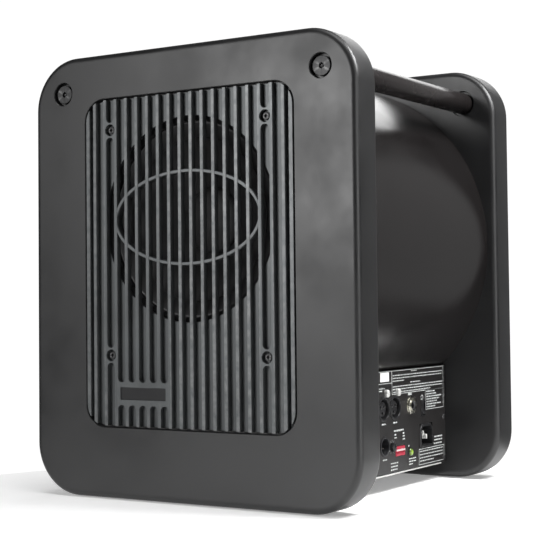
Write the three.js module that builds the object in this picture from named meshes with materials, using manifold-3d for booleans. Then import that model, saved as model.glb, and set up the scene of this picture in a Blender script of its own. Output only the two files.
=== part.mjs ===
// An active 8-inch subwoofer: two thick rounded plates, a rolled steel drum between them whose
// overlapping turns form the reflex duct, two tie rods that double as carrying handles, a slatted
// cast grille over the driver, and an amplifier with its connector panel under the drum.
//
// Millimetres, +Z up. The baffle faces -Y. The origin is on the ground, under the middle.
// Inside the "speaker" group, y is measured back from the front face.

import * as THREE from "three";
import { mergeVertices } from "three/addons/utils/BufferGeometryUtils.js";
import Module from "manifold-3d";

const wasm = await Module();
wasm.setup();

// ---------------------------------------------------------------- driving dimensions

const WIDTH = 350;
const HEIGHT = 410;
const DEPTH = 319;
const GAP = 0.3; // air between neighbouring pieces
const OVERRUN = 2; // how far a cutting tool runs past the face it opens

const PLATE = { thickness: 36, edge: 5.5, corner: 48, lift: 1 };
const PLATE_HEIGHT = HEIGHT - PLATE.lift;
const REAR_PLATE_Y = DEPTH - PLATE.thickness;
const BAY_START = PLATE.thickness + GAP;
const BAY_END = REAR_PLATE_Y - GAP;
const BAY_LENGTH = BAY_END - BAY_START;

const FOOT = { length: 46, width: 16, height: 4, x: 100 };

const ROD = { x: 140.5, z: 376.5, radius: 10.5, seat: 3, socketRadius: 12.5, tapRadius: 4.4, tapDepth: 20 };
const ROD_BOLT = { headRadius: 8.7, head: 3.5, sunk: 2, pocketRadius: 10.8, shankRadius: 4, hexRadius: 2.6 };

const GRILLE = { width: 225, height: 299.4, corner: 19.5, thickness: 8.7, floorY: 5, z: 216.95 };
const POCKET = { margin: 1.5, depth: GRILLE.thickness + GAP };
const SLAT = { pitch: 12.1, width: 3.6, grooves: 17, edgeGrooveX: 106.6, edgeGrooveWidth: 3.9 };
const OPENING = { radius: 92.5, z: 253.7 };
const BRACE = { a: 78.5, b: 41.4, width: 3, sunk: 0.4, z: 255 };
const GRILLE_SCREW = { x: 84.7, low: 131.5, high: 338.5, landHalf: 6.8, headRadius: 3.4, head: 2.6,
  sunk: 2.2, pocketRadius: 5.3, shankRadius: 2, length: 22, hexRadius: 1.6 };
const BADGE = { left: -74, right: -22.8, low: 91.1, high: 102.7, sunk: 0.9, thickness: 0.5 };
const BADGE_LAND = { left: -77, right: -18, low: 86.5, high: 107.1 };

const DRUM = { z: 234, radius: 166, sheet: 2, ductHeight: 18 };
const TURN = { mouth: 192, flareAngle: 12, flare: 4, narrowFrom: -48, narrowTo: -128, innerEnd: -330 };

const PANEL = { x: 117, thickness: 2, low: 17, high: 113.5 };
const HOUSING = { left: -95, sheet: 2 };

const INPUT = { count: 5, y: 172.9, z: 78, pitch: 22.8, radius: 11, depth: 24, bore: 9.6, boreDepth: 15,
  insert: 6.6, contactRadius: 1.5, contactCircle: 3.9 };
const LATCH = { dy: 5.3, dz: 14.4, width: 5.5, height: 7.4, corner: 2.6, proud: 3.4 };
const OUTPUT = { count: 3, y: 151.2, z: 43.4, pitch: 22.8, radius: 8.6, depth: 20, bore: 7.4, boreDepth: 13,
  pinRadius: 1.2, pinCircle: 4.6, pinLength: 10 };
const JACK = { y: 205.8, z: 78, nutRadius: 8.4, nut: 1.8, bore: 3.3, bodyRadius: 7, depth: 22 };
const ROCKER = { y: 232, z: 73.5, width: 6, height: 13, depth: 6, tilt: 8, proud: 1.2 };
const INLET = { y: 238.3, z: 46.8, width: 28, height: 22.5, chamfer: 5, wall: 2, cavity: 15, depth: 22 };
const BLADE = { width: 2, height: 4, length: 12, spacing: 7, offset: 2 };
const KNOB = { y: 166.4, z: 41.4, radius: 4, proud: 3.2, shaft: 6, slot: 1 };
const DIP = { y: 182.5, z: 36.6, width: 18.6, height: 9, depth: 6, proud: 0.6, pitch: 2.54, count: 7,
  slotWidth: 1.6, slotHeight: 4.2, slotDepth: 2 };
const SLIDER = { width: 1.1, height: 1.7, length: 2.2 };
const LED = { y: 203.8, z: 33.4, radius: 3.9, proud: 2.6, depth: 7 };

// ---------------------------------------------------------------- shape helpers

const degrees = THREE.MathUtils.degToRad;

function asSolid(geometry) {
  const bare = geometry.clone();
  bare.deleteAttribute("normal");
  bare.deleteAttribute("uv");
  const merged = mergeVertices(bare, 1e-4);
  const mesh = new wasm.Mesh({
    numProp: 3,
    vertProperties: merged.attributes.position.array,
    triVerts: new Uint32Array(merged.index.array),
  });
  return new wasm.Manifold(mesh);
}

function asGeometry(solid) {
  const mesh = solid.getMesh();
  const geometry = new THREE.BufferGeometry();
  geometry.setAttribute("position", new THREE.BufferAttribute(mesh.vertProperties, 3));
  geometry.setIndex(new THREE.BufferAttribute(mesh.triVerts, 1));
  geometry.computeVertexNormals();
  return geometry;
}

function cut(geometry, tools) {
  const left = tools.reduce((solid, tool) => solid.subtract(asSolid(tool)), asSolid(geometry));
  return asGeometry(left);
}

function join(geometry, additions) {
  const whole = additions.reduce((solid, extra) => solid.add(asSolid(extra)), asSolid(geometry));
  return asGeometry(whole);
}

function roundedRectangle(width, height, radius, x = 0, y = 0) {
  const shape = new THREE.Shape();
  const right = width / 2 - radius;
  const top = height / 2 - radius;
  shape.absarc(x + right, y - top, radius, -Math.PI / 2, 0);
  shape.absarc(x + right, y + top, radius, 0, Math.PI / 2);
  shape.absarc(x - right, y + top, radius, Math.PI / 2, Math.PI);
  shape.absarc(x - right, y - top, radius, Math.PI, 1.5 * Math.PI);
  return shape;
}

// A shape drawn in x and z, extruded along y from the plane y = start.
function alongY(shape, start, length, curveSegments = 6) {
  const geometry = new THREE.ExtrudeGeometry(shape, { depth: length, bevelEnabled: false, curveSegments });
  geometry.rotateX(Math.PI / 2);
  geometry.translate(0, start + length, 0);
  return geometry;
}

// A shape drawn in y and z, extruded along x from the plane x = start.
function alongX(shape, start, length, curveSegments = 6) {
  const geometry = new THREE.ExtrudeGeometry(shape, { depth: length, bevelEnabled: false, curveSegments });
  geometry.rotateX(Math.PI / 2);
  geometry.rotateZ(Math.PI / 2);
  geometry.translate(start, 0, 0);
  return geometry;
}

function rodAlongY(radius, start, length, x, z, sides = 24) {
  const geometry = new THREE.CylinderGeometry(radius, radius, length, sides);
  geometry.translate(x, start + length / 2, z);
  return geometry;
}

function rodAlongX(radius, start, length, y, z, sides = 16) {
  const geometry = new THREE.CylinderGeometry(radius, radius, length, sides);
  geometry.rotateZ(-Math.PI / 2);
  geometry.translate(start + length / 2, y, z);
  return geometry;
}

function block(low, high) {
  const size = high.map((value, i) => value - low[i]);
  const geometry = new THREE.BoxGeometry(...size);
  geometry.translate(...low.map((value, i) => value + size[i] / 2));
  return geometry;
}

// A ring or disc turned about the y axis from [radius, y] points, listed counter-clockwise.
function turned(profile, sides = 32) {
  const points = profile.map(([radius, y]) => new THREE.Vector2(radius, y));
  const touchesAxis = profile[0][0] === 0;
  if (!touchesAxis) points.push(points[0].clone());
  return new THREE.LatheGeometry(points, sides);
}

// The same, turned about the x axis: the profile's second number then runs along +x.
function turnedAlongX(profile, sides = 16) {
  const geometry = turned(profile, sides);
  geometry.rotateZ(-Math.PI / 2);
  return geometry;
}

// ---------------------------------------------------------------- finishes

const FINISHES = {
  black_paint: { color: 0x2c2d2f, roughness: 0.55, metalness: 0.0 },
  steel_paint: { color: 0x262525, roughness: 0.35, metalness: 0.1 },
  grille_paint: { color: 0x4a4c4c, roughness: 0.45, metalness: 0.4 },
  black_metal: { color: 0x1f1f20, roughness: 0.4, metalness: 0.6 },
  panel_paint: { color: 0x1b1b1c, roughness: 0.5, metalness: 0.2 },
  bright_metal: { color: 0xb9bbbd, roughness: 0.25, metalness: 0.95 },
  zinc: { color: 0x8d8f90, roughness: 0.45, metalness: 0.85 },
  black_plastic: { color: 0x17181a, roughness: 0.5, metalness: 0.0 },
  red_plastic: { color: 0xb3231c, roughness: 0.4, metalness: 0.0 },
  white_plastic: { color: 0xdcdcd6, roughness: 0.45, metalness: 0.0 },
  led_lens: { color: 0xb4d435, roughness: 0.2, metalness: 0.0 },
  rubber: { color: 0x141414, roughness: 0.8, metalness: 0.0 },
  paper_cone: { color: 0x1d1d1e, roughness: 0.85, metalness: 0.0 },
  spider_cloth: { color: 0x8a6a3d, roughness: 0.9, metalness: 0.0 },
  ferrite: { color: 0x2b2c2f, roughness: 0.7, metalness: 0.2 },
  copper: { color: 0xb87333, roughness: 0.35, metalness: 0.9 },
  circuit_board: { color: 0x1d5b34, roughness: 0.5, metalness: 0.0 },
};

function part(name, finish, geometry, position = [0, 0, 0], rotation = [0, 0, 0]) {
  const mesh = new THREE.Mesh(geometry, new THREE.MeshStandardMaterial(FINISHES[finish]));
  mesh.name = name;
  mesh.position.set(...position);
  mesh.rotation.set(...rotation);
  return mesh;
}

const SIDES = [["left", -1], ["right", 1]];

// ---------------------------------------------------------------- the two plates

function plateBlank() {
  const inset = 2 * PLATE.edge;
  const outline = roundedRectangle(WIDTH - inset, PLATE_HEIGHT - inset, PLATE.corner - PLATE.edge);
  const geometry = new THREE.ExtrudeGeometry(outline, {
    depth: PLATE.thickness - inset,
    bevelThickness: PLATE.edge,
    bevelSize: PLATE.edge,
    bevelSegments: 2,
    curveSegments: 5,
  });
  geometry.rotateX(Math.PI / 2);
  geometry.translate(0, PLATE.thickness - PLATE.edge, PLATE.lift + PLATE_HEIGHT / 2);
  return geometry;
}

// Cutters for one rod joint, on a plate whose outer face is at y = 0.
function rodJointCutters(side) {
  const x = side * ROD.x;
  const pocketDepth = ROD_BOLT.sunk + ROD_BOLT.head + GAP;
  return [
    rodAlongY(ROD_BOLT.pocketRadius, -OVERRUN, OVERRUN + pocketDepth, x, ROD.z, 20),
    rodAlongY(ROD_BOLT.shankRadius + GAP, 0, PLATE.thickness, x, ROD.z, 12),
    rodAlongY(ROD.socketRadius, PLATE.thickness - ROD.seat - GAP, ROD.seat + OVERRUN, x, ROD.z, 24),
  ];
}

function footShape(x, y, growth) {
  const width = FOOT.width + 2 * growth;
  return roundedRectangle(FOOT.length + 2 * growth, width, width / 2, x, y);
}

function footSolid(x, y, growth, height) {
  const options = { depth: height, bevelEnabled: false, curveSegments: 4 };
  return new THREE.ExtrudeGeometry(footShape(x, y, growth), options);
}

function footRecess(side) {
  return footSolid(side * FOOT.x, PLATE.thickness / 2, GAP, FOOT.height + GAP);
}

function frontPlate() {
  const pocketShape = roundedRectangle(
    GRILLE.width + 2 * POCKET.margin,
    GRILLE.height + 2 * POCKET.margin,
    GRILLE.corner + POCKET.margin,
    0,
    GRILLE.z,
  );
  const rebateDepth = POCKET.depth + DRIVER.flange + 2 * GAP;
  const tools = [
    alongY(pocketShape, -OVERRUN, OVERRUN + POCKET.depth, 5),
    rodAlongY(DRIVER.radius + GAP, 0, rebateDepth, 0, OPENING.z, 36),
    rodAlongY(DRIVER.cutout, 0, PLATE.thickness + OVERRUN, 0, OPENING.z, 36),
  ];
  for (const [, side] of SIDES) {
    tools.push(...rodJointCutters(side), footRecess(side));
    for (const z of [GRILLE_SCREW.low, GRILLE_SCREW.high]) {
      const radius = GRILLE_SCREW.shankRadius + GAP;
      tools.push(rodAlongY(radius, 0, GRILLE_SCREW.length + OVERRUN, side * GRILLE_SCREW.x, z, 8));
    }
  }
  return part("front_plate", "black_paint", cut(plateBlank(), tools));
}

// The rear plate is the same blank turned to face the other way.
function rearPlate() {
  const tools = SIDES.flatMap(([, side]) => [...rodJointCutters(side), footRecess(side)]);
  const mesh = part("rear_plate", "black_paint", cut(plateBlank(), tools));
  mesh.position.y = DEPTH;
  mesh.rotation.z = Math.PI;
  return mesh;
}

function feet() {
  const rows = [["front", PLATE.thickness / 2], ["rear", DEPTH - PLATE.thickness / 2]];
  return rows.flatMap(([row, y]) =>
    SIDES.map(([name, side]) =>
      part(`foot_${row}_${name}`, "rubber", footSolid(0, 0, 0, FOOT.height), [side * FOOT.x, y, 0]),
    ),
  );
}

// ---------------------------------------------------------------- tie rods and their bolts

function tieRod(name, side) {
  const start = PLATE.thickness - ROD.seat;
  const length = DEPTH - 2 * start;
  const bore = ROD.tapRadius;
  const tap = ROD.tapDepth;
  const blank = new THREE.CylinderGeometry(ROD.radius, ROD.radius, length, 24);
  const taps = [-1, 1].map((end) => {
    const tool = new THREE.CylinderGeometry(bore, bore, tap + OVERRUN, 12);
    tool.translate(0, (end * (length - tap + OVERRUN)) / 2, 0);
    return tool;
  });
  const place = [side * ROD.x, DEPTH / 2, ROD.z];
  return part(`tie_rod_${name}`, "black_metal", cut(blank, taps), place);
}

// Head at y = 0, shank running to +y.
function socketBolt(headRadius, head, shankRadius, length, hexRadius, sides) {
  const profile = [
    [0, 0],
    [headRadius, 0],
    [headRadius, head],
    [shankRadius, head],
    [shankRadius, length],
    [0, length],
  ];
  const hex = new THREE.CylinderGeometry(hexRadius, hexRadius, head, 6);
  return cut(turned(profile, sides), [hex]);
}

function rodBolts() {
  const length = PLATE.thickness - ROD.seat - ROD_BOLT.sunk + ROD.tapDepth - OVERRUN;
  const ends = [["front", ROD_BOLT.sunk, 0], ["rear", DEPTH - ROD_BOLT.sunk, Math.PI]];
  return ends.flatMap(([end, y, turn]) =>
    SIDES.map(([name, side]) => {
      const { headRadius, head, shankRadius, hexRadius } = ROD_BOLT;
      const bolt = socketBolt(headRadius, head, shankRadius, length, hexRadius, 12);
      return part(`rod_bolt_${end}_${name}`, "black_metal", bolt, [side * ROD.x, y, ROD.z], [0, 0, turn]);
    }),
  );
}

// ---------------------------------------------------------------- grille

// One groove from z = low to z = high. A round end stops it short of a land, an open one runs out.
function groove(x, width, low, high, roundLow, roundHigh) {
  const shape = new THREE.Shape();
  const half = width / 2;
  if (roundLow) {
    shape.absarc(x, low + half, half, Math.PI, 2 * Math.PI);
  } else {
    shape.moveTo(x - half, low);
    shape.lineTo(x + half, low);
  }
  if (roundHigh) {
    shape.absarc(x, high - half, half, 0, Math.PI);
  } else {
    shape.lineTo(x + half, high);
    shape.lineTo(x - half, high);
  }
  return alongY(shape, -OVERRUN, OVERRUN + GRILLE.floorY, 2);
}

// The lands that interrupt the groove at x, as [low, high] pairs from the bottom up.
function landsAcross(x) {
  if (Math.abs(Math.abs(x) - GRILLE_SCREW.x) < 1) {
    return [GRILLE_SCREW.low, GRILLE_SCREW.high].map((z) => [
      z - GRILLE_SCREW.landHalf,
      z + GRILLE_SCREW.landHalf,
    ]);
  }
  const onBadge = x > BADGE_LAND.left && x < BADGE_LAND.right;
  return onBadge ? [[BADGE_LAND.low, BADGE_LAND.high]] : [];
}

function groovesAt(x, width) {
  const bottom = GRILLE.z - GRILLE.height / 2 - OVERRUN;
  const top = GRILLE.z + GRILLE.height / 2 + OVERRUN;
  const lands = landsAcross(x);
  const starts = [bottom, ...lands.map(([, high]) => high)];
  const ends = [...lands.map(([low]) => low), top];
  return starts.map((low, i) => groove(x, width, low, ends[i], i > 0, i < lands.length));
}

function ellipse(a, b, x, y) {
  const curve = new THREE.EllipseCurve(x, y, a, b, 0, 2 * Math.PI);
  return curve.getPoints(40).slice(0, 40);
}

// The elliptical ring that ties the free slats, just behind their fronts.
function brace() {
  const half = BRACE.width / 2;
  const shape = new THREE.Shape(ellipse(BRACE.a + half, BRACE.b + half, 0, BRACE.z));
  shape.holes.push(new THREE.Path(ellipse(BRACE.a - half, BRACE.b - half, 0, BRACE.z)));
  return alongY(shape, BRACE.sunk, GRILLE.thickness - BRACE.sunk);
}

function grille() {
  const blankShape = roundedRectangle(GRILLE.width, GRILLE.height, GRILLE.corner, 0, GRILLE.z);
  const blank = alongY(blankShape, 0, GRILLE.thickness, 4);
  const grooveWidth = SLAT.pitch - SLAT.width;
  const tools = [];
  for (let i = 0; i < SLAT.grooves; i += 1) {
    tools.push(...groovesAt((i - (SLAT.grooves - 1) / 2) * SLAT.pitch, grooveWidth));
  }
  for (const [, side] of SIDES) {
    tools.push(...groovesAt(side * SLAT.edgeGrooveX, SLAT.edgeGrooveWidth));
  }

  // The round opening is cut only through the floor, so the slats run on across it.
  const floorCut = GRILLE.thickness - GRILLE.floorY + OVERRUN;
  tools.push(rodAlongY(OPENING.radius, GRILLE.floorY, floorCut, 0, OPENING.z, 48));

  for (const [, side] of SIDES) {
    for (const z of [GRILLE_SCREW.low, GRILLE_SCREW.high]) {
      const x = side * GRILLE_SCREW.x;
      const seat = GRILLE_SCREW.sunk + GRILLE_SCREW.head + GAP;
      tools.push(rodAlongY(GRILLE_SCREW.pocketRadius, -OVERRUN, OVERRUN + seat, x, z, 14));
      tools.push(rodAlongY(GRILLE_SCREW.shankRadius + GAP, 0, GRILLE.thickness + OVERRUN, x, z, 8));
    }
  }
  const badgeDepth = BADGE.sunk + BADGE.thickness;
  tools.push(block([BADGE.left, -OVERRUN, BADGE.low], [BADGE.right, badgeDepth, BADGE.high]));
  return part("grille", "grille_paint", join(cut(blank, tools), [brace()]));
}

function badgePlate() {
  const width = BADGE.right - BADGE.left - 2 * GAP;
  const height = BADGE.high - BADGE.low - 2 * GAP;
  const shape = roundedRectangle(width, height, 0.8);
  const place = [(BADGE.left + BADGE.right) / 2, 0, (BADGE.low + BADGE.high) / 2];
  const plate = alongY(shape, BADGE.sunk - GAP, BADGE.thickness, 2);
  return part("badge_plate", "black_metal", plate, place);
}

function grilleScrews() {
  const rows = [["low", GRILLE_SCREW.low], ["high", GRILLE_SCREW.high]];
  return rows.flatMap(([row, z]) =>
    SIDES.map(([name, side]) => {
      const { headRadius, head, shankRadius, length, hexRadius, sunk, x } = GRILLE_SCREW;
      const screw = socketBolt(headRadius, head, shankRadius, length - sunk, hexRadius, 8);
      return part(`grille_screw_${row}_${name}`, "black_metal", screw, [side * x, sunk, z]);
    }),
  );
}

// ---------------------------------------------------------------- the rolled drum

// Outer radius of the sheet at an angle: full size round the outside, then one narrower turn inside.
function sheetRadius(angle) {
  const innerRadius = DRUM.radius - DRUM.sheet - DRUM.ductHeight;
  const flareStart = TURN.mouth - TURN.flareAngle;
  if (angle > flareStart) {
    const share = (angle - flareStart) / TURN.flareAngle;
    return DRUM.radius + TURN.flare * share * share;
  }
  const share = THREE.MathUtils.smoothstep(-angle, -TURN.narrowFrom, -TURN.narrowTo);
  return THREE.MathUtils.lerp(DRUM.radius, innerRadius, share);
}

function spiralShell() {
  const stepAngle = 6;
  const steps = Math.round((TURN.mouth - TURN.innerEnd) / stepAngle);
  const outside = [];
  const inside = [];
  for (let i = 0; i <= steps; i += 1) {
    const angle = TURN.mouth - i * stepAngle;
    const direction = new THREE.Vector2(Math.cos(degrees(angle)), Math.sin(degrees(angle)));
    const radius = sheetRadius(angle);
    outside.push(direction.clone().multiplyScalar(radius));
    inside.push(direction.clone().multiplyScalar(radius - DRUM.sheet));
  }
  const shape = new THREE.Shape([...outside, ...inside.reverse()]);
  return part("spiral_shell", "steel_paint", alongY(shape, BAY_START, BAY_LENGTH), [0, 0, DRUM.z]);
}

// Height of the drum's underside where it crosses x on the way round to the left.
function undersideAt(x) {
  let angle = -45;
  while (sheetRadius(angle) * Math.cos(degrees(angle)) > x) angle -= 0.5;
  return DRUM.z + sheetRadius(angle) * Math.sin(degrees(angle));
}

// ---------------------------------------------------------------- driver

const DRIVER = { radius: 104, flange: 4, cutout: 91.5 };
const BASKET = { lip: 88, wall: 2.5, rearY: 86, rearRadius: 47, hub: 24, windows: 6 };
const SURROUND = { outer: 87.6, inner: 74.3, lip: 2, roll: 6, skin: 1.2 };
const CONE = { outer: 73.7, depth: 34, skin: 1.4, y: 20 };
const DUST_CAP = { radius: 30, rise: 9, skin: 1 };
const COIL = { radius: 19.2, skin: 1, start: 52, end: 104 };
const SPIDER = { inner: 20.2, outer: 44, y: 70, waves: 5, height: 2.4, skin: 0.8 };
const MOTOR = { topPlate: 48, bore: 20.6, topThickness: 8, magnet: 60, magnetBore: 31, magnetThickness: 20,
  yoke: 56, yokeThickness: 8, pole: 17.4 };

// Points on a half-circle roll from one radius to the other, bulging towards -y.
function rollPoints(inner, outer, rise, y, steps) {
  const middle = (inner + outer) / 2;
  const half = (outer - inner) / 2;
  return Array.from({ length: steps + 1 }, (_, i) => {
    const turn = (Math.PI * i) / steps;
    return [middle - half * Math.cos(turn), y - rise * Math.sin(turn)];
  });
}

function driverBasket() {
  const front = POCKET.depth + GAP;
  const back = front + DRIVER.flange;
  const wall = BASKET.wall;
  const profile = [
    [BASKET.lip, front],
    [DRIVER.radius, front],
    [DRIVER.radius, back],
    [DRIVER.cutout - GAP, back],
    [DRIVER.cutout - GAP, back + 14],
    [BASKET.rearRadius + wall, BASKET.rearY],
    [BASKET.hub, BASKET.rearY],
    [BASKET.hub, BASKET.rearY - wall],
    [BASKET.rearRadius - wall, BASKET.rearY - wall],
    [DRIVER.cutout - GAP - wall - 1, back + 12],
    [BASKET.lip, back + 2],
  ];
  const windows = [];
  for (let i = 0; i < BASKET.windows; i += 1) {
    const tool = block([-13, 34, 44], [13, BASKET.rearY - 8, DRIVER.radius]);
    tool.rotateY((2 * Math.PI * i) / BASKET.windows);
    windows.push(tool);
  }
  return part("driver_basket", "black_metal", cut(turned(profile, 36), windows));
}

function surround() {
  const { inner, outer, lip, roll, skin } = SURROUND;
  const y = CONE.y - skin;
  const over = rollPoints(inner + lip, outer, roll, y, 5);
  const under = rollPoints(inner + lip + skin, outer - skin, roll - skin, y + skin, 5).reverse();
  const profile = [[inner, y], ...over, ...under, [inner, y + skin]];
  return part("surround", "rubber", turned(profile, 36));
}

function cone() {
  const { outer, depth, skin, y } = CONE;
  const neck = COIL.radius + GAP;
  const profile = [
    [neck, y + depth - skin],
    [outer - 2, y],
    [outer, y],
    [outer, y + skin],
    [neck, y + depth + skin],
  ];
  return part("cone", "paper_cone", turned(profile, 36));
}

function dustCap() {
  const { radius, rise, skin } = DUST_CAP;
  const share = (radius - COIL.radius) / (CONE.outer - COIL.radius);
  const y = CONE.y + CONE.depth * (1 - share) - 2 * skin;
  const steps = 4;
  const dome = (size, lift) =>
    Array.from({ length: steps + 1 }, (_, i) => {
      const turn = (Math.PI / 2) * (i / steps);
      return [size * Math.sin(turn), y - lift * Math.cos(turn)];
    });
  const profile = [...dome(radius, rise), ...dome(radius - skin, rise - skin).reverse()];
  return part("dust_cap", "paper_cone", turned(profile, 24));
}

function voiceCoil() {
  const { radius, skin, start, end } = COIL;
  const profile = [
    [radius - skin, start],
    [radius, start],
    [radius, end],
    [radius - skin, end],
  ];
  return part("voice_coil", "copper", turned(profile, 24));
}

function spider() {
  const { inner, outer, y, waves, height, skin } = SPIDER;
  const steps = waves * 2;
  const wave = (lift) =>
    Array.from({ length: steps + 1 }, (_, i) => {
      const radius = THREE.MathUtils.lerp(inner, outer, i / steps);
      const side = i % 2 === 0 ? -1 : 1;
      return [radius, y + lift + (side * height) / 2];
    });
  const profile = [...wave(0), ...wave(skin).reverse()];
  return part("spider", "spider_cloth", turned(profile, 24));
}

function motor() {
  const plateStart = BASKET.rearY + GAP;
  const magnetStart = plateStart + MOTOR.topThickness + GAP;
  const yokeStart = magnetStart + MOTOR.magnetThickness + GAP;
  const washer = (bore, radius, start, thickness) =>
    turned([[bore, start], [radius, start], [radius, start + thickness], [bore, start + thickness]], 32);
  const yokeProfile = [
    [0, plateStart],
    [MOTOR.pole, plateStart],
    [MOTOR.pole, yokeStart],
    [MOTOR.yoke, yokeStart],
    [MOTOR.yoke, yokeStart + MOTOR.yokeThickness],
    [0, yokeStart + MOTOR.yokeThickness],
  ];
  return [
    part("top_plate", "zinc", washer(MOTOR.bore, MOTOR.topPlate, plateStart, MOTOR.topThickness)),
    part("magnet", "ferrite", washer(MOTOR.magnetBore, MOTOR.magnet, magnetStart, MOTOR.magnetThickness)),
    part("pole_yoke", "zinc", turned(yokeProfile, 32)),
  ];
}

function driver() {
  const group = new THREE.Group();
  group.position.z = OPENING.z;
  group.add(driverBasket(), surround(), cone(), dustCap(), voiceCoil(), spider(), ...motor());
  return group;
}

// ---------------------------------------------------------------- amplifier

function ampHousing() {
  const { left, sheet } = HOUSING;
  const right = PANEL.x - PANEL.thickness - GAP;
  const top = undersideAt(left + sheet) - 1;
  const section = new THREE.Shape([
    new THREE.Vector2(left, PANEL.low),
    new THREE.Vector2(right, PANEL.low),
    new THREE.Vector2(right, PANEL.low + sheet),
    new THREE.Vector2(left + sheet, PANEL.low + sheet),
    new THREE.Vector2(left + sheet, top),
    new THREE.Vector2(left, top),
  ]);
  return part("amp_housing", "steel_paint", alongY(section, BAY_START, BAY_LENGTH));
}

function inletOutline(growth) {
  const halfWidth = INLET.width / 2 + growth;
  const halfHeight = INLET.height / 2 + growth;
  const chamfer = INLET.chamfer + growth / 2;
  return new THREE.Shape([
    new THREE.Vector2(INLET.y - halfWidth, INLET.z - halfHeight),
    new THREE.Vector2(INLET.y + halfWidth, INLET.z - halfHeight),
    new THREE.Vector2(INLET.y + halfWidth, INLET.z + halfHeight - chamfer),
    new THREE.Vector2(INLET.y + halfWidth - chamfer, INLET.z + halfHeight),
    new THREE.Vector2(INLET.y - halfWidth + chamfer, INLET.z + halfHeight),
    new THREE.Vector2(INLET.y - halfWidth, INLET.z + halfHeight - chamfer),
  ]);
}

const inputY = (index) => INPUT.y - index * INPUT.pitch;
const outputY = (index) => OUTPUT.y - index * OUTPUT.pitch;

function ampPanel() {
  const inner = -PANEL.thickness;
  const through = PANEL.thickness + 2 * OVERRUN;
  const hole = (radius, y, z) => rodAlongX(radius + GAP, inner - OVERRUN, through, y, z, 16);
  const window = (width, height, y, z) =>
    block(
      [inner - OVERRUN, y - width / 2 - GAP, z - height / 2 - GAP],
      [OVERRUN, y + width / 2 + GAP, z + height / 2 + GAP],
    );
  const latchWindow = (index) => {
    const { dy, dz, width, height, corner } = LATCH;
    const shape = roundedRectangle(
      width + 2 * GAP, height + 2 * GAP, corner + GAP, inputY(index) + dy, INPUT.z + dz,
    );
    return alongX(shape, inner - OVERRUN, through, 2);
  };
  const tools = [
    hole(JACK.bodyRadius, JACK.y, JACK.z),
    hole(KNOB.radius, KNOB.y, KNOB.z),
    hole(LED.radius, LED.y, LED.z),
    window(ROCKER.width, ROCKER.height, ROCKER.y, ROCKER.z),
    window(DIP.width, DIP.height, DIP.y, DIP.z),
    alongX(inletOutline(GAP), inner - OVERRUN, through),
  ];
  for (let i = 0; i < INPUT.count; i += 1) {
    tools.push(hole(INPUT.radius, inputY(i), INPUT.z));
    tools.push(latchWindow(i));
  }
  for (let i = 0; i < OUTPUT.count; i += 1) tools.push(hole(OUTPUT.radius, outputY(i), OUTPUT.z));
  const sheet = block([inner, BAY_START, PANEL.low], [0, BAY_END, PANEL.high]);
  return part("amp_panel", "panel_paint", cut(sheet, tools));
}

// Three places on a circle, the first straight up.
function threeOnCircle(radius) {
  return [90, 210, 330].map((angle) => {
    const turn = degrees(angle);
    return [radius * Math.cos(turn), radius * Math.sin(turn)];
  });
}

// Socket for a plug with pins: a cup with a drilled insert standing in its middle.
function inputSocket(index) {
  const { radius, depth, bore, boreDepth, insert, contactRadius, contactCircle } = INPUT;
  const profile = [
    [0, -depth],
    [radius, -depth],
    [radius, 0.5],
    [bore, 0.5],
    [bore, -boreDepth],
    [insert, -boreDepth],
    [insert, -1],
    [0, -1],
  ];
  const contacts = threeOnCircle(contactCircle).map(([y, z]) =>
    rodAlongX(contactRadius, -boreDepth, boreDepth + OVERRUN, y, -z, 8),
  );
  const geometry = cut(turnedAlongX(profile, 16), contacts);
  return part(`xlr_input_${index + 1}`, "black_plastic", geometry, [0, inputY(index), INPUT.z]);
}

function inputLatch(index) {
  const shape = roundedRectangle(LATCH.width, LATCH.height, LATCH.corner);
  const inward = PANEL.thickness + 1;
  const geometry = alongX(shape, -inward, inward + LATCH.proud, 2);
  const place = [0, inputY(index) + LATCH.dy, INPUT.z + LATCH.dz];
  return part(`xlr_latch_${index + 1}`, "bright_metal", geometry, place);
}

// Plug end: a cup with three pins.
function outputSocket(index) {
  const { radius, depth, bore, boreDepth, pinRadius, pinCircle, pinLength } = OUTPUT;
  const profile = [
    [0, -depth],
    [radius, -depth],
    [radius, 0.5],
    [bore, 0.5],
    [bore, -boreDepth],
    [0, -boreDepth],
  ];
  const pins = threeOnCircle(pinCircle).map(([y, z]) =>
    rodAlongX(pinRadius, -boreDepth - 1, pinLength + 1, y, z, 8),
  );
  const geometry = join(turnedAlongX(profile, 16), pins);
  return part(`xlr_output_${index + 1}`, "black_metal", geometry, [0, outputY(index), OUTPUT.z]);
}

function bypassJack() {
  const { nutRadius, nut, bore, bodyRadius, depth } = JACK;
  const hexNut = new THREE.CylinderGeometry(nutRadius, nutRadius, nut, 6);
  hexNut.rotateZ(-Math.PI / 2);
  hexNut.translate(GAP + nut / 2, 0, 0);
  const barrel = rodAlongX(bodyRadius - 1.5, -depth, depth + nut + 1.6, 0, 0, 16);
  const boreTool = rodAlongX(bore, -depth + 3, depth + 6, 0, 0, 12);
  return part("bypass_jack", "zinc", cut(join(hexNut, [barrel]), [boreTool]), [0, JACK.y, JACK.z]);
}

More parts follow.
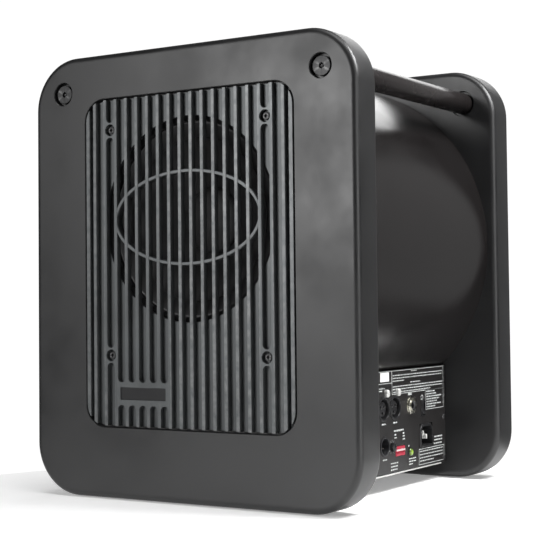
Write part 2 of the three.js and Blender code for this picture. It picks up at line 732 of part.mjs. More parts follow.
// A shallow V-fronted rocker, resting with its upper half pressed in.
function powerRocker() {
  const halfHeight = ROCKER.height / 2 - 0.6;
  const dish = 0.9;
  const section = new THREE.Shape([
    new THREE.Vector2(-ROCKER.depth, -2),
    new THREE.Vector2(-2, -halfHeight),
    new THREE.Vector2(ROCKER.proud, -halfHeight),
    new THREE.Vector2(ROCKER.proud - dish, 0),
    new THREE.Vector2(ROCKER.proud, halfHeight),
    new THREE.Vector2(-2, halfHeight),
    new THREE.Vector2(-ROCKER.depth, 2),
  ]);
  const width = ROCKER.width - 2 * GAP;
  const geometry = alongY(section, -width / 2, width);
  const mesh = part("power_rocker", "black_plastic", geometry, [0, ROCKER.y, ROCKER.z]);
  mesh.rotation.y = degrees(-ROCKER.tilt);
  return mesh;
}

function mainsInlet() {
  const shell = alongX(inletOutline(0), -INLET.depth, INLET.depth + 0.8);
  const cavity = alongX(inletOutline(-INLET.wall), -INLET.cavity, INLET.cavity + OVERRUN);
  return part("mains_inlet", "black_plastic", cut(shell, [cavity]));
}

// Three contact blades on one carrier, standing in the inlet's cavity.
function inletBlades() {
  const floorX = -INLET.cavity + GAP;
  const carrier = block(
    [floorX, INLET.y - BLADE.spacing - 2, INLET.z - 5],
    [floorX + 1.2, INLET.y + BLADE.spacing + 2, INLET.z + 5],
  );
  const blades = [-1, 0, 1].map((column) => {
    const y = INLET.y + column * BLADE.spacing;
    const z = INLET.z + (column === 0 ? BLADE.offset : -BLADE.offset);
    return block(
      [floorX, y - BLADE.width / 2, z - BLADE.height / 2],
      [floorX + BLADE.length, y + BLADE.width / 2, z + BLADE.height / 2],
    );
  });
  return part("inlet_blades", "bright_metal", join(carrier, blades));
}

function levelKnob() {
  const { radius, proud, shaft, slot } = KNOB;
  const profile = [
    [0, -shaft],
    [1.5, -shaft],
    [1.5, -PANEL.thickness],
    [radius, -PANEL.thickness],
    [radius, proud],
    [0, proud],
  ];
  const slotTool = block([proud - slot, -slot / 2, 0], [proud + OVERRUN, slot / 2, radius + OVERRUN]);
  return part("level_knob", "black_plastic", cut(turnedAlongX(profile, 16), [slotTool]), [0, KNOB.y, KNOB.z]);
}

const dipColumn = (index) => (index - (DIP.count - 1) / 2) * DIP.pitch;

function dipBlock() {
  const body = block(
    [-DIP.depth, -DIP.width / 2, -DIP.height / 2],
    [DIP.proud, DIP.width / 2, DIP.height / 2],
  );
  const slots = Array.from({ length: DIP.count }, (_, i) =>
    block(
      [DIP.proud - DIP.slotDepth, dipColumn(i) - DIP.slotWidth / 2, -DIP.slotHeight / 2],
      [DIP.proud + OVERRUN, dipColumn(i) + DIP.slotWidth / 2, DIP.slotHeight / 2],
    ),
  );
  return part("dip_block", "red_plastic", cut(body, slots), [0, DIP.y, DIP.z]);
}

// All sliders rest at the high end of their slots.
function dipSlider(index) {
  const start = DIP.proud - DIP.slotDepth + GAP;
  const top = DIP.slotHeight / 2 - GAP;
  const geometry = block(
    [start, -SLIDER.width / 2, top - SLIDER.height],
    [start + SLIDER.length, SLIDER.width / 2, top],
  );
  const place = [0, DIP.y + dipColumn(index), DIP.z];
  return part(`dip_slider_${index + 1}`, "white_plastic", geometry, place);
}

function statusLed() {
  const { radius, proud, depth } = LED;
  const profile = [
    [0, -depth],
    [radius, -depth],
    [radius, proud - radius],
    [radius * 0.7, proud - radius * 0.3],
    [0, proud],
  ];
  return part("status_led", "led_lens", turnedAlongX(profile, 12), [0, LED.y, LED.z]);
}

const BOARD = { x: -27, thickness: 1.6, margin: 8, low: 22, high: 92 };
const TOROID = { outer: 43, inner: 14, height: 34, x: -110, y: 160 };

function ampBoard() {
  const geometry = block(
    [BOARD.x, BAY_START + BOARD.margin, BOARD.low],
    [BOARD.x + BOARD.thickness, BAY_END - BOARD.margin, BOARD.high],
  );
  return part("amp_board", "circuit_board", geometry);
}

// The ring stands on the housing floor, on its flat side.
function mainsTransformer() {
  const { outer, inner, height } = TOROID;
  const round = 6;
  const profile = [
    [inner, round],
    [inner + round, 0],
    [outer - round, 0],
    [outer, round],
    [outer, height - round],
    [outer - round, height],
    [inner + round, height],
    [inner, height - round],
  ];
  const floorZ = PANEL.low + HOUSING.sheet + GAP;
  const place = [TOROID.x, TOROID.y, floorZ];
  return part("mains_transformer", "copper", turned(profile, 24), place, [Math.PI / 2, 0, 0]);
}

function amplifier() {
  const group = new THREE.Group();
  group.position.x = PANEL.x;
  group.add(ampPanel(), ampBoard(), mainsTransformer());
  group.add(bypassJack(), powerRocker(), mainsInlet(), inletBlades(), levelKnob(), dipBlock(), statusLed());
  for (let i = 0; i < INPUT.count; i += 1) group.add(inputSocket(i), inputLatch(i));
  for (let i = 0; i < OUTPUT.count; i += 1) group.add(outputSocket(i));
  for (let i = 0; i < DIP.count; i += 1) group.add(dipSlider(i));
  return group;
}

// ---------------------------------------------------------------- assembly

const speaker = new THREE.Group();
speaker.position.y = -DEPTH / 2;
speaker.add(frontPlate(), rearPlate(), ...feet());
for (const [name, side] of SIDES) speaker.add(tieRod(name, side));
speaker.add(...rodBolts(), grille(), badgePlate(), ...grilleScrews());
speaker.add(spiralShell(), driver(), ampHousing(), amplifier());

const subwoofer = new THREE.Group();
subwoofer.add(speaker);

export default subwoofer;
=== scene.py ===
"""The looks of the subwoofer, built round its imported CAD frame.

Shapes are drawn in millimetres in the part's own frame (x to the right, y to the back, z up) and
become metres when a mesh is made. Places and outer sizes come from the CAD nodes' boxes.
"""

import math
import random

import bmesh
import bpy
from mathutils import Matrix, Vector

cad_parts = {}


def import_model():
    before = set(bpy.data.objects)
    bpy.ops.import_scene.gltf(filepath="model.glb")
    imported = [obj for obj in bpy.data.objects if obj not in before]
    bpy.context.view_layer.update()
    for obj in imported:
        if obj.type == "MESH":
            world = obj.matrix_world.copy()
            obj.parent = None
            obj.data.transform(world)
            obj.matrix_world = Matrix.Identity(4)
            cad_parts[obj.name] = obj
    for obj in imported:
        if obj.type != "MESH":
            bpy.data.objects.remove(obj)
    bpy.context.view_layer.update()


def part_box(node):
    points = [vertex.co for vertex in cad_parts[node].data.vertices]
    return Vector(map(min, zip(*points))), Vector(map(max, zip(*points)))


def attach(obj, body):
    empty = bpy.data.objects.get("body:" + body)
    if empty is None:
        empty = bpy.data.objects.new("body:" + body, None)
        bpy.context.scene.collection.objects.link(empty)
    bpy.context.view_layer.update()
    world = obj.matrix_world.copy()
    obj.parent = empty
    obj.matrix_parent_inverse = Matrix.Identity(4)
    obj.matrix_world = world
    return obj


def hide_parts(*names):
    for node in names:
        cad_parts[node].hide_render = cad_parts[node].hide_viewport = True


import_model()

MM = 0.001
BASE = "enclosure"
SIDES = (("left", -1), ("right", 1))
print_random = random.Random(7)


# -------------------- places taken from the frame

def edges(node):
    """Lowest and highest corner of a CAD node, in millimetres."""
    low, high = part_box(node)
    return Vector(low) / MM, Vector(high) / MM


def middle(node):
    low, high = edges(node)
    return (low + high) / 2


def seen_along(axis, point):
    """The two section numbers of a point, looking along an axis."""
    x, y, z = point
    return {"x": (y, z), "y": (x, z), "z": (x, y)}[axis]


def section_middle(node, axis="x"):
    return seen_along(axis, middle(node))


FRONT = edges("front_plate")[0].y
BAY_START = edges("spiral_shell")[0].y
BAY_END = edges("spiral_shell")[1].y
PANEL_X = edges("amp_panel")[1].x
DRIVER_Z = middle("cone").z


# -------------------- outlines

def polar(centre, radius, degrees):
    turn = math.radians(degrees)
    return centre[0] + radius * math.cos(turn), centre[1] + radius * math.sin(turn)


def arc(cx, cy, radius, start, end, steps):
    """Points on a circle from one angle to another, in degrees."""
    return [polar((cx, cy), radius, start + (end - start) * i / steps) for i in range(steps + 1)]


def rounded(cx, cy, width, height, radius, steps=8):
    right, top = width / 2 - radius, height / 2 - radius
    return (
        arc(cx + right, cy - top, radius, -90, 0, steps)
        + arc(cx + right, cy + top, radius, 0, 90, steps)
        + arc(cx - right, cy + top, radius, 90, 180, steps)
        + arc(cx - right, cy - top, radius, 180, 270, steps)
    )


def circle(cx, cy, radius, steps=32):
    return arc(cx, cy, radius, 0, 360, steps)[:-1]


def rectangle(low_x, low_y, high_x, high_y):
    return [(low_x, low_y), (high_x, low_y), (high_x, high_y), (low_x, high_y)]


def node_outline(node, axis, corner, steps=4, growth=0.0):
    """A node's box seen along an axis and grown all round, with round corners."""
    low, high = edges(node)
    width, height = seen_along(axis, high - low)
    return rounded(*section_middle(node, axis), width + 2 * growth, height + 2 * growth, corner, steps)


def inset(outline, distance):
    """The outline moved inwards by a distance. Outlines run counter-clockwise."""
    moved = []
    count = len(outline)
    for i, point in enumerate(outline):
        here = Vector(point)
        before = here - Vector(outline[i - 1])
        after = Vector(outline[(i + 1) % count]) - here
        if before.length < 1e-9 or after.length < 1e-9:
            before = after = before if before.length > after.length else after
        first = Vector((-before.y, before.x)).normalized()
        second = Vector((-after.y, after.x)).normalized()
        bisector = first + second
        share = 2 * distance / max(bisector.length_squared, 0.4)
        moved.append(tuple(here + bisector * share))
    return moved


# -------------------- solids

def across(axis, a, b, along):
    """A point from two numbers in a section and one along its axis."""
    if axis == "x":
        return (along, a, b)
    if axis == "y":
        return (a, along, b)
    return (a, b, along)


def linked(name, data):
    """A new object in the scene, from a mesh, a light or a camera."""
    made = bpy.data.objects.new(name, data)
    bpy.context.scene.collection.objects.link(made)
    return made


def point_rings(shape, loops):
    return [[shape.verts.new(Vector(point) * MM) for point in loop] for loop in loops]


def as_object(name, shape):
    mesh = bpy.data.meshes.new(name)
    shape.to_mesh(mesh)
    shape.free()
    return linked(name, mesh)


def cleaned(name, shape):
    """An object whose doubled corners are merged and whose faces point outwards."""
    bmesh.ops.remove_doubles(shape, verts=shape.verts, dist=1e-7)
    bmesh.ops.dissolve_degenerate(shape, edges=shape.edges, dist=1e-8)
    bmesh.ops.recalc_face_normals(shape, faces=shape.faces)
    return as_object(name, shape)


def make(name, loops, closed_loop=False):
    """A mesh object through loops of equally many points, capped unless the last joins the first."""
    shape = bmesh.new()
    rings = point_rings(shape, loops)
    count = len(loops[0])
    pairs = list(zip(rings, rings[1:]))
    if closed_loop:
        pairs.append((rings[-1], rings[0]))
    for lower, upper in pairs:
        for i in range(count):
            k = (i + 1) % count
            shape.faces.new((lower[i], lower[k], upper[k], upper[i]))
    if not closed_loop:
        shape.faces.new(rings[0])
        shape.faces.new(rings[-1])
    return cleaned(name, shape)


def prism(name, outline, axis, start, end, bevel=0.0, steps=3, support=0.0, back_bevel=None):
    """An outline swept along an axis, with its end edges rounded by bevel.

    support adds a ring on each end face just inside the rounding, which keeps the flat part flat.
    """
    back_bevel = bevel if back_bevel is None else back_bevel
    rings = []
    for level, sign, size in ((start, 1, bevel), (end, -1, back_bevel)):
        turns = [math.pi / 2 * i / steps for i in range(steps + 1)] if size else [math.pi / 2]
        ring = [(size * (1 - math.sin(t)), level + sign * size * (1 - math.cos(t))) for t in turns]
        if size and support:
            ring.insert(0, (size + support, level))
        rings += ring if sign > 0 else ring[::-1]
    loops = [[across(axis, a, b, along) for a, b in inset(outline, depth)] for depth, along in rings]
    return make(name, loops)


def lathe(name, profile, axis, centre, steps=64, ring=False):
    """(radius, along) points turned about a line through centre, two numbers in the section."""
    loops = []
    for i in range(steps):
        turn = 2 * math.pi * i / steps
        cos, sin = math.cos(turn), math.sin(turn)
        loops.append([
            across(axis, centre[0] + r * cos, centre[1] + r * sin, along) for r, along in profile
        ])
    shape = bmesh.new()
    rings = point_rings(shape, loops)
    count = len(profile)
    last = count if ring else count - 1
    for here, following in zip(rings, rings[1:] + rings[:1]):
        for k in range(last):
            j = (k + 1) % count
            shape.faces.new((here[k], here[j], following[j], following[k]))
    return cleaned(name, shape)


def softened(profile, size=0.3):
    """A profile whose inner corners are cut back by two short steps, so that edges catch light."""
    out = [profile[0]]
    for before, here, after in zip(profile, profile[1:], profile[2:]):
        a, b, c = Vector(before), Vector(here), Vector(after)
        if (b - a).length < 2.2 * size or (c - b).length < 2.2 * size:
            out.append(here)
            continue
        first = b + (a - b).normalized() * size
        last = b + (c - b).normalized() * size
        mid = (first + last) / 2 * 0.5 + b * 0.5
        out += [tuple(first), tuple(mid), tuple(last)]
    return out + [profile[-1]]


def flat_ring(name, inner, outer, start, end, axis, centre, steps, soft=0.0):
    """A ring of rectangular section, with its outer edges softened."""
    profile = [(inner, start), (outer, start), (outer, end), (inner, end)]
    if soft:
        profile = softened(profile, soft)
    return lathe(name, profile, axis, centre, steps, ring=True)


def joined(name, objects):
    """Several closed shapes as one object."""
    shape = bmesh.new()
    for item in objects:
        shape.from_mesh(item.data)
        bpy.data.objects.remove(item)
    return as_object(name, shape)


def carve(target, tools, operation="DIFFERENCE"):
    """Cuts the tools from the target, or adds or keeps them. Tools of one call don't overlap."""
    tool = joined("tool", tools)
    modifier = target.modifiers.new("carve", "BOOLEAN")
    modifier.operation = operation
    modifier.solver = "EXACT"
    modifier.object = tool
    evaluated = target.evaluated_get(bpy.context.evaluated_depsgraph_get())
    mesh = bpy.data.meshes.new_from_object(evaluated)
    target.modifiers.clear()
    target.data = mesh
    bpy.data.objects.remove(tool)


def bore(axis, centre, radius, face, end, chamfer=0.3, steps=40):
    """A round cutter from just outside a face to a depth, with a chamfer at its mouth."""
    into = 1 if end > face else -1
    profile = [
        (0, face - into),
        (radius + chamfer, face - into),
        (radius + chamfer, face),
        (radius, face + into * chamfer),
        (radius, end),
        (0, end),
    ]
    return lathe("bore", profile, axis, centre, steps)


def finish_piece(item, material, body=BASE, nodes=(), angle=32):
    """Gives a piece its shading, its material and its place in the frame."""
    mesh = item.data
    mesh.polygons.foreach_set("use_smooth", [True] * len(mesh.polygons))
    mesh.set_sharp_from_angle(angle=math.radians(angle))
    mesh.materials.clear()
    mesh.materials.append(material)
    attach(item, body)
    if nodes:
        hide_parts(*nodes)


# -------------------- materials

def map_range(tree, source, from_low, from_high, to_low=0.0, to_high=1.0):
    node = tree.nodes.new("ShaderNodeMapRange")
    limits = {"From Min": from_low, "From Max": from_high, "To Min": to_low, "To Max": to_high}
    for name, value in limits.items():
        node.inputs[name].default_value = value
    tree.links.new(source, node.inputs["Value"])
    return node.outputs["Result"]


def mix_colours(tree, factor, first, second):
    """A mix of two colours, each of them a plain colour or a socket."""
    node = tree.nodes.new("ShaderNodeMix")
    node.data_type = "RGBA"
    tree.links.new(factor, node.inputs["Factor"])
    for name, colour in (("A", first), ("B", second)):
        if isinstance(colour, tuple):
            node.inputs[name].default_value = (*colour, 1)
        else:
            tree.links.new(colour, node.inputs[name])
    return node.outputs["Result"]


def surface(name, colour, roughness, metallic=0.0, mottle=0.12, mottle_mm=45.0, grain_mm=0.4,
            grain=0.05, rough_spread=0.06, wear=0.0, wear_colour=(0.3, 0.3, 0.3), specular=0.5,
            coat=0.0, emission=0.0):
    """A painted, moulded or metal surface: uneven colour and gloss, fine grain, rubbed edges."""
    material = bpy.data.materials.new(name)
    material.use_nodes = True
    tree = material.node_tree
    nodes, links = tree.nodes, tree.links
    shader = nodes["Principled BSDF"]
    settings = {"Metallic": metallic, "Specular IOR Level": specular, "Coat Weight": coat,
                "Coat Roughness": 0.2, "Emission Strength": emission}
    for setting, value in settings.items():
        shader.inputs[setting].default_value = value
    place = nodes.new("ShaderNodeTexCoord")

    def noise(size_mm, detail):
        node = nodes.new("ShaderNodeTexNoise")
        node.inputs["Scale"].default_value = 1 / (size_mm * MM)
        node.inputs["Detail"].default_value = detail
        links.new(place.outputs["Object"], node.inputs["Vector"])
        return node.outputs["Fac"]

    def spread(source, low, high):
        return map_range(tree, source, 0.3, 0.7, low, high)

    broad = noise(mottle_mm, 3)
    darker, lighter = (tuple(c * share for c in colour) for share in (1 - mottle, 1 + mottle))
    colour_out = mix_colours(tree, spread(broad, 0, 1), darker, lighter)
    if wear:
        shape = nodes.new("ShaderNodeNewGeometry")
        patchy = nodes.new("ShaderNodeMath")
        patchy.operation = "MULTIPLY"
        links.new(map_range(tree, shape.outputs["Pointiness"], 0.54, 0.62), patchy.inputs[0])
        links.new(spread(noise(6, 3), 0, wear), patchy.inputs[1])
        colour_out = mix_colours(tree, patchy.outputs["Value"], colour_out, wear_colour)
    links.new(colour_out, shader.inputs["Base Color"])
    gloss = spread(broad, roughness - rough_spread, roughness + rough_spread)
    links.new(gloss, shader.inputs["Roughness"])
    bump = nodes.new("ShaderNodeBump")
    bump.inputs["Strength"].default_value = grain
    bump.inputs["Distance"].default_value = 0.2 * MM
    links.new(noise(grain_mm, 2), bump.inputs["Height"])
    links.new(bump.outputs["Normal"], shader.inputs["Normal"])
    return material


PLATE_PAINT = surface("plate_paint", (0.011, 0.011, 0.0115), 0.40, grain_mm=0.9, grain=0.10, mottle=0.08,
                      wear=0.25, wear_colour=(0.10, 0.10, 0.10))
DRUM_PAINT = surface("drum_paint", (0.0085, 0.0075, 0.0075), 0.22, grain_mm=2.5, mottle=0.08,
                     rough_spread=0.03)
ROD_PAINT = surface("rod_paint", (0.014, 0.012, 0.012), 0.26, grain_mm=1.5)
HOUSING_PAINT = surface("housing_paint", (0.022, 0.022, 0.023), 0.45, grain_mm=0.7, grain=0.12, wear=0.2)
GRILLE_PAINT = surface("grille_paint", (0.078, 0.083, 0.085), 0.42, metallic=0.6, grain_mm=0.5, grain=0.12,
                       mottle=0.10, wear=0.30)
SCREW_METAL = surface("screw_metal", (0.016, 0.016, 0.017), 0.46, metallic=0.3, grain=0.08, wear=0.5,
                      wear_colour=(0.35, 0.35, 0.35))
BADGE_FACE = surface("badge_face", (0.008, 0.008, 0.009), 0.45, grain_mm=0.8, grain=0.04, specular=0.3)
PANEL_PAINT = surface("panel_paint", (0.014, 0.013, 0.013), 0.42, grain_mm=0.5, grain=0.10)
PRINT_INK = surface("print_ink", (0.50, 0.52, 0.51), 0.6, grain=0.1, mottle=0.2, mottle_mm=2)
STICKER = surface("sticker", (0.86, 0.86, 0.84), 0.45, grain_mm=0.6, grain=0.08, mottle=0.03)
BRIGHT_METAL = surface("bright_metal", (0.72, 0.69, 0.66), 0.24, metallic=1.0, grain=0.06)
SATIN_METAL = surface("satin_metal", (0.70, 0.70, 0.68), 0.45, metallic=0.3, grain=0.08)
ZINC = surface("zinc_plate", (0.62, 0.61, 0.54), 0.30, metallic=1.0, grain_mm=0.5, grain=0.10, mottle=0.2,
               mottle_mm=4)
SOCKET_METAL = surface("socket_metal", (0.03, 0.03, 0.033), 0.35, metallic=0.5, grain=0.06, wear=0.5)
BLACK_PLASTIC = surface("black_plastic", (0.012, 0.012, 0.013), 0.42, grain=0.15, wear=0.3,
                        wear_colour=(0.08, 0.08, 0.08))
RED_PLASTIC = surface("red_plastic", (0.36, 0.022, 0.045), 0.38, grain=0.10)
WHITE_PLASTIC = surface("white_plastic", (0.80, 0.79, 0.76), 0.40, grain_mm=0.3, grain=0.08)
LED_LENS = surface("led_lens", (0.05, 0.09, 0.008), 0.15, grain_mm=0.5, grain=0.03, coat=0.4)
RUBBER = surface("foot_rubber", (0.012, 0.012, 0.012), 0.75, grain_mm=0.6, grain=0.35)
SOFT_RUBBER = surface("surround_rubber", (0.006, 0.006, 0.0065), 0.55, grain_mm=0.8, grain=0.08)
PAPER = surface("cone_paper", (0.004, 0.004, 0.0045), 0.60, grain_mm=1.6, grain=0.45, mottle=0.25,
                mottle_mm=6)
CLOTH = surface("spider_cloth", (0.28, 0.17, 0.07), 0.85, grain_mm=0.6, grain=0.6, mottle=0.2, mottle_mm=3)
CAST_BLACK = surface("basket_paint", (0.006, 0.006, 0.0065), 0.55, grain_mm=0.8, grain=0.25, wear=0.15)
FERRITE = surface("ferrite", (0.035, 0.035, 0.038), 0.55, metallic=0.2, grain_mm=0.7, grain=0.2)
COPPER = surface("copper_winding", (0.62, 0.28, 0.13), 0.30, metallic=0.9, grain_mm=0.7, grain=0.7,
                 mottle=0.25, mottle_mm=2)
BOARD_GREEN = surface("board_green", (0.015, 0.10, 0.04), 0.40, grain_mm=0.9, grain=0.1, mottle=0.2,
                      mottle_mm=5)
CAPACITOR = surface("capacitor_sleeve", (0.02, 0.03, 0.09), 0.35, grain_mm=0.8)


def painted_groove_shade(material, front, depth, shade):
    """Painted shade: darkens a material with distance behind a plane facing -y, so the grooves look shaded.
    """
    tree = material.node_tree
    colour = tree.nodes["Principled BSDF"].inputs["Base Color"]
    place = tree.nodes.new("ShaderNodeTexCoord")
    parts = tree.nodes.new("ShaderNodeSeparateXYZ")
    tree.links.new(place.outputs["Object"], parts.inputs["Vector"])
    level = map_range(tree, parts.outputs["Y"], (front + 0.8) * MM, (front + depth) * MM, 0, 1 - shade)
    tree.links.new(mix_colours(tree, level, colour.links[0].from_socket, (0, 0, 0)), colour)


def lit_core(material, centre, reach):
    """Makes a lens glow at its middle, fading to nothing at a distance in millimetres."""
    tree = material.node_tree
    shader = tree.nodes["Principled BSDF"]
    place = tree.nodes.new("ShaderNodeTexCoord")
    away = tree.nodes.new("ShaderNodeVectorMath")
    away.operation = "DISTANCE"
    away.inputs[1].default_value = centre * MM
    tree.links.new(place.outputs["Object"], away.inputs[0])
    glow = map_range(tree, away.outputs["Value"], 0.3 * MM, reach * MM, 0.8, 0)
    tree.links.new(glow, shader.inputs["Emission Strength"])
    shader.inputs["Emission Color"].default_value = (0.55, 0.85, 0.10, 1)


# -------------------- the two plates

PLATE_CORNER = 48
PLATE_EDGE = 5.5
ROD_X = edges("tie_rod_right")[0].x + 10.5
ROD_Z = middle("tie_rod_right").z
BOLT_POCKET = 10.8
BOLT_SUNK = 5.8
ROD_SOCKET = 12.5
ROD_SEAT = 3.3
FOOT_GAP = 0.4
GRILLE_GAP = 1.5
POCKET_DEPTH = 9.0
POCKET_CORNER = 21
POCKET_CHAMFER = 0.5
SEAT_RADIUS, SEAT_DEPTH = 104.4, 13.6
HOLE_RADIUS = 91.6


def plate_blank(name, node):
    low, high = edges(node)
    outline = node_outline(node, "y", PLATE_CORNER, 20)
    return prism(name, outline, "y", low.y, high.y, PLATE_EDGE, steps=9, support=1.2)


def foot_outline(node, growth=0.0):
    low, high = edges(node)
    return node_outline(node, "z", (high.y - low.y) / 2 + growth - 0.01, 12, growth)


def plate_tools(row, outer, inner):
    """Cutters for a plate: a bolt pocket and a rod socket at each rod, and the feet's recesses."""
    into = 1 if inner > outer else -1
    tools = []
    for name, side in SIDES:
        place = (side * ROD_X, ROD_Z)
        foot = f"foot_{row}_{name}"
        tools += [
            bore("y", place, BOLT_POCKET, outer, outer + into * BOLT_SUNK, 0.5, 56),
            bore("y", place, ROD_SOCKET, inner, inner - into * ROD_SEAT, 0.4, 56),
            prism("foot_tool", foot_outline(foot, FOOT_GAP), "z", -5, edges(foot)[1].z + 0.3),
        ]
    return tools


def front_plate():
    low, high = edges("front_plate")
    plate = plate_blank("front_plate_paint", "front_plate")
    outline = node_outline("grille", "y", POCKET_CORNER, 14, GRILLE_GAP)
    depths = [(-POCKET_CHAMFER - 1, -1), (0, POCKET_CHAMFER), (0, POCKET_DEPTH)]
    pocket = make("pocket", [
        [across("y", a, b, FRONT + depth) for a, b in inset(outline, growth)] for growth, depth in depths
    ])
    carve(plate, [pocket, *plate_tools("front", low.y, high.y)])
    carve(plate, [lathe("driver_hole", [
        (0, FRONT + POCKET_DEPTH - 1),
        (SEAT_RADIUS, FRONT + POCKET_DEPTH - 1),
        (SEAT_RADIUS, FRONT + SEAT_DEPTH),
        (HOLE_RADIUS, FRONT + SEAT_DEPTH),
        (HOLE_RADIUS, high.y + 1),
        (0, high.y + 1),
    ], "y", (0, DRIVER_Z), 96)])
    finish_piece(plate, PLATE_PAINT, nodes=["front_plate"])


def rear_plate():
    low, high = edges("rear_plate")
    plate = plate_blank("rear_plate_paint", "rear_plate")
    carve(plate, plate_tools("rear", high.y, low.y))
    finish_piece(plate, PLATE_PAINT, nodes=["rear_plate"])


def feet():
    for row in ("front", "rear"):
        for name, _ in SIDES:
            node = f"foot_{row}_{name}"
            low, high = edges(node)
            pad = prism(f"{node}_pad", foot_outline(node), "z", low.z, high.z, 0.8, 3, 0.6)
            finish_piece(pad, RUBBER, nodes=[node])


# -------------------- tie rods, bolts and screws

def tie_rods():
    for name, side in SIDES:
        node = f"tie_rod_{name}"
        low, high = edges(node)
        radius = (high.z - low.z) / 2
        profile = softened([(0, low.y), (radius, low.y), (radius, high.y), (0, high.y)], 0.8)
        rod = lathe(f"{node}_bar", profile, "y", (side * ROD_X, ROD_Z), 72)
        finish_piece(rod, ROD_PAINT, nodes=[node])


def socket_screw(node, out, head, head_height, shank, hex_size, pin=0):
    """A flat-headed screw with a hex socket. out is -1 if its head faces -y, 1 if it faces +y."""
    low, high = edges(node)
    name = f"{node}_metal"
    centre = section_middle(node, "y")
    top, tip = (low.y, high.y) if out < 0 else (high.y, low.y)
    profile = softened([
        (0, top),
        (head, top),
        (head, top - out * head_height),
        (shank, top - out * head_height),
        (shank, tip),
        (0, tip),
    ], 0.5)
    screw = lathe(name, profile, "y", centre, 48)
    depth = head_height * 0.8
    hexagon = arc(*centre, hex_size, 30, 330, 5)
    ends = sorted((top + out, top - out * depth))
    carve(screw, [prism("hexagon", hexagon, "y", *ends)])
    if pin:
        post = sorted((top - out * (depth + 0.2), top - out * 0.6))
        screw = joined(name, [screw, prism("post", circle(*centre, pin, 20), "y", *post, 0.2)])
    finish_piece(screw, SCREW_METAL, nodes=[node], angle=16)


def rod_bolts():
    for end, out in (("front", -1), ("rear", 1)):
        for name, _ in SIDES:
            socket_screw(f"rod_bolt_{end}_{name}", out, 8.7, head_height=3.5, shank=4, hex_size=2.9, pin=0.9)


def grille_screws():
    for row in ("low", "high"):
        for name, _ in SIDES:
            socket_screw(f"grille_screw_{row}_{name}", -1, 3.4, head_height=2.6, shank=2, hex_size=1.7)


# -------------------- grille

SLAT_PITCH = 12.1
SLAT_WIDTH = 3.6
SLAT_COUNT = 18
EDGE_LAND = 3.9
GROOVE_DEPTH = 5
SCREW_X = 84.7
SCREW_Z = (131.5, 338.5)
SCREW_LAND = 6.8
OPENING_RADIUS = 92.5
BRACE_A, BRACE_B, BRACE_WIDTH, BRACE_Z = 78.5, 41.4, 3, 255
BADGE_LAND = (86.5, 107.1)
BADGE_GROOVES = range(2, 7)
SCREW_POCKET, SCREW_POCKET_DEPTH = 5.3, 5.1
# Share of the grille's colour kept at the groove floors under the painted shade.
GROOVE_SHADE = 0.75


def slat_section(low, high):
    """The grille's section across the slats: drafted walls and softened front edges."""
    draft, soft = 0.35, 0.35
    spans = [(low.x, low.x + EDGE_LAND)]
    for i in range(SLAT_COUNT):
        x = (i - (SLAT_COUNT - 1) / 2) * SLAT_PITCH
        spans.append((x - SLAT_WIDTH / 2, x + SLAT_WIDTH / 2))
    spans.append((high.x - EDGE_LAND, high.x))
    front, floor = low.y, low.y + GROOVE_DEPTH
    points = []
    for left, right in spans:
        first, last = left == low.x, right == high.x
        if not first:
            points += [(left - draft, floor), (left, front + soft), (left + soft, front)]
        else:
            points.append((left, front))
        if not last:
            points += [(right - soft, front), (right, front + soft), (right + draft, floor)]
        else:
            points.append((right, front))
    return points + [(high.x, high.y), (low.x, high.y)]


def land(x, low, high, front, floor):
    """A bridge across one groove, whose ends leave the groove round."""
    half = (SLAT_PITCH - SLAT_WIDTH) / 2
    side = half + 1.2
    bottom = arc(x, low - half, half, 180, 0, 14)
    top = arc(x, high + half, half, 0, -180, 14)
    outline = [(x - side, low - half), *bottom, (x + side, low - half), (x + side, high + half), *top,
               (x - side, high + half)]
    return prism("land", outline, "y", front, floor + 0.4)


def brace_ring(front, back):
    """The elliptical ring that ties the free slats, with rounded edges."""
    steps, soft = 120, 0.5
    half = BRACE_WIDTH / 2
    section = [(-half, back), (half, back), (half, front + soft), (half - soft, front),
               (soft - half, front), (-half, front + soft)]
    loops = []
    for i in range(steps):
        turn = 2 * math.pi * i / steps
        across_normal = Vector((BRACE_B * math.cos(turn), BRACE_A * math.sin(turn))).normalized()
        centre = Vector((BRACE_A * math.cos(turn), BRACE_Z + BRACE_B * math.sin(turn)))
        loops.append([
            ((centre + across_normal * shift).x, y, (centre + across_normal * shift).y)
            for shift, y in section
        ])
    return make("brace", loops, closed_loop=True)


def grille():
    low, high = edges("grille")
    front, floor = low.y, low.y + GROOVE_DEPTH
    body = prism("grille_casting", slat_section(low, high), "z", low.z - 2, high.z + 2)
    outline = rounded(0, (low.z + high.z) / 2, high.x - low.x - 0.02, high.z - low.z, 19.5, 14)
    carve(body, [prism("outline", outline, "y", front - 1, high.y + 1)], "INTERSECT")
    opening = lathe("opening", [(0, floor - 0.02), (OPENING_RADIUS, floor - 0.02),
                                (OPENING_RADIUS, high.y + 2), (0, high.y + 2)], "y", (0, DRIVER_Z), 128)
    carve(body, [opening])
    screws = [(side * SCREW_X, z) for _, side in SIDES for z in SCREW_Z]
    lands = [land(x, z - SCREW_LAND, z + SCREW_LAND, front, floor) for x, z in screws]
    lands += [land(-i * SLAT_PITCH, *BADGE_LAND, front, floor) for i in BADGE_GROOVES]
    for piece in [*lands, brace_ring(front + 0.4, high.y - 0.2)]:
        carve(body, [piece], "UNION")

    recess = node_outline("badge_plate", "y", 1.0, 4, 0.3)
    tools = [prism("badge_recess", recess, "y", front - 1, edges("badge_plate")[1].y + 0.2)]
    tools += [bore("y", place, SCREW_POCKET, front, front + SCREW_POCKET_DEPTH, 0.35) for place in screws]
    carve(body, tools)
    # Painted shade in the grooves between the slats.
    painted_groove_shade(GRILLE_PAINT, front, GROOVE_DEPTH, GROOVE_SHADE)
    finish_piece(body, GRILLE_PAINT, nodes=["grille"])


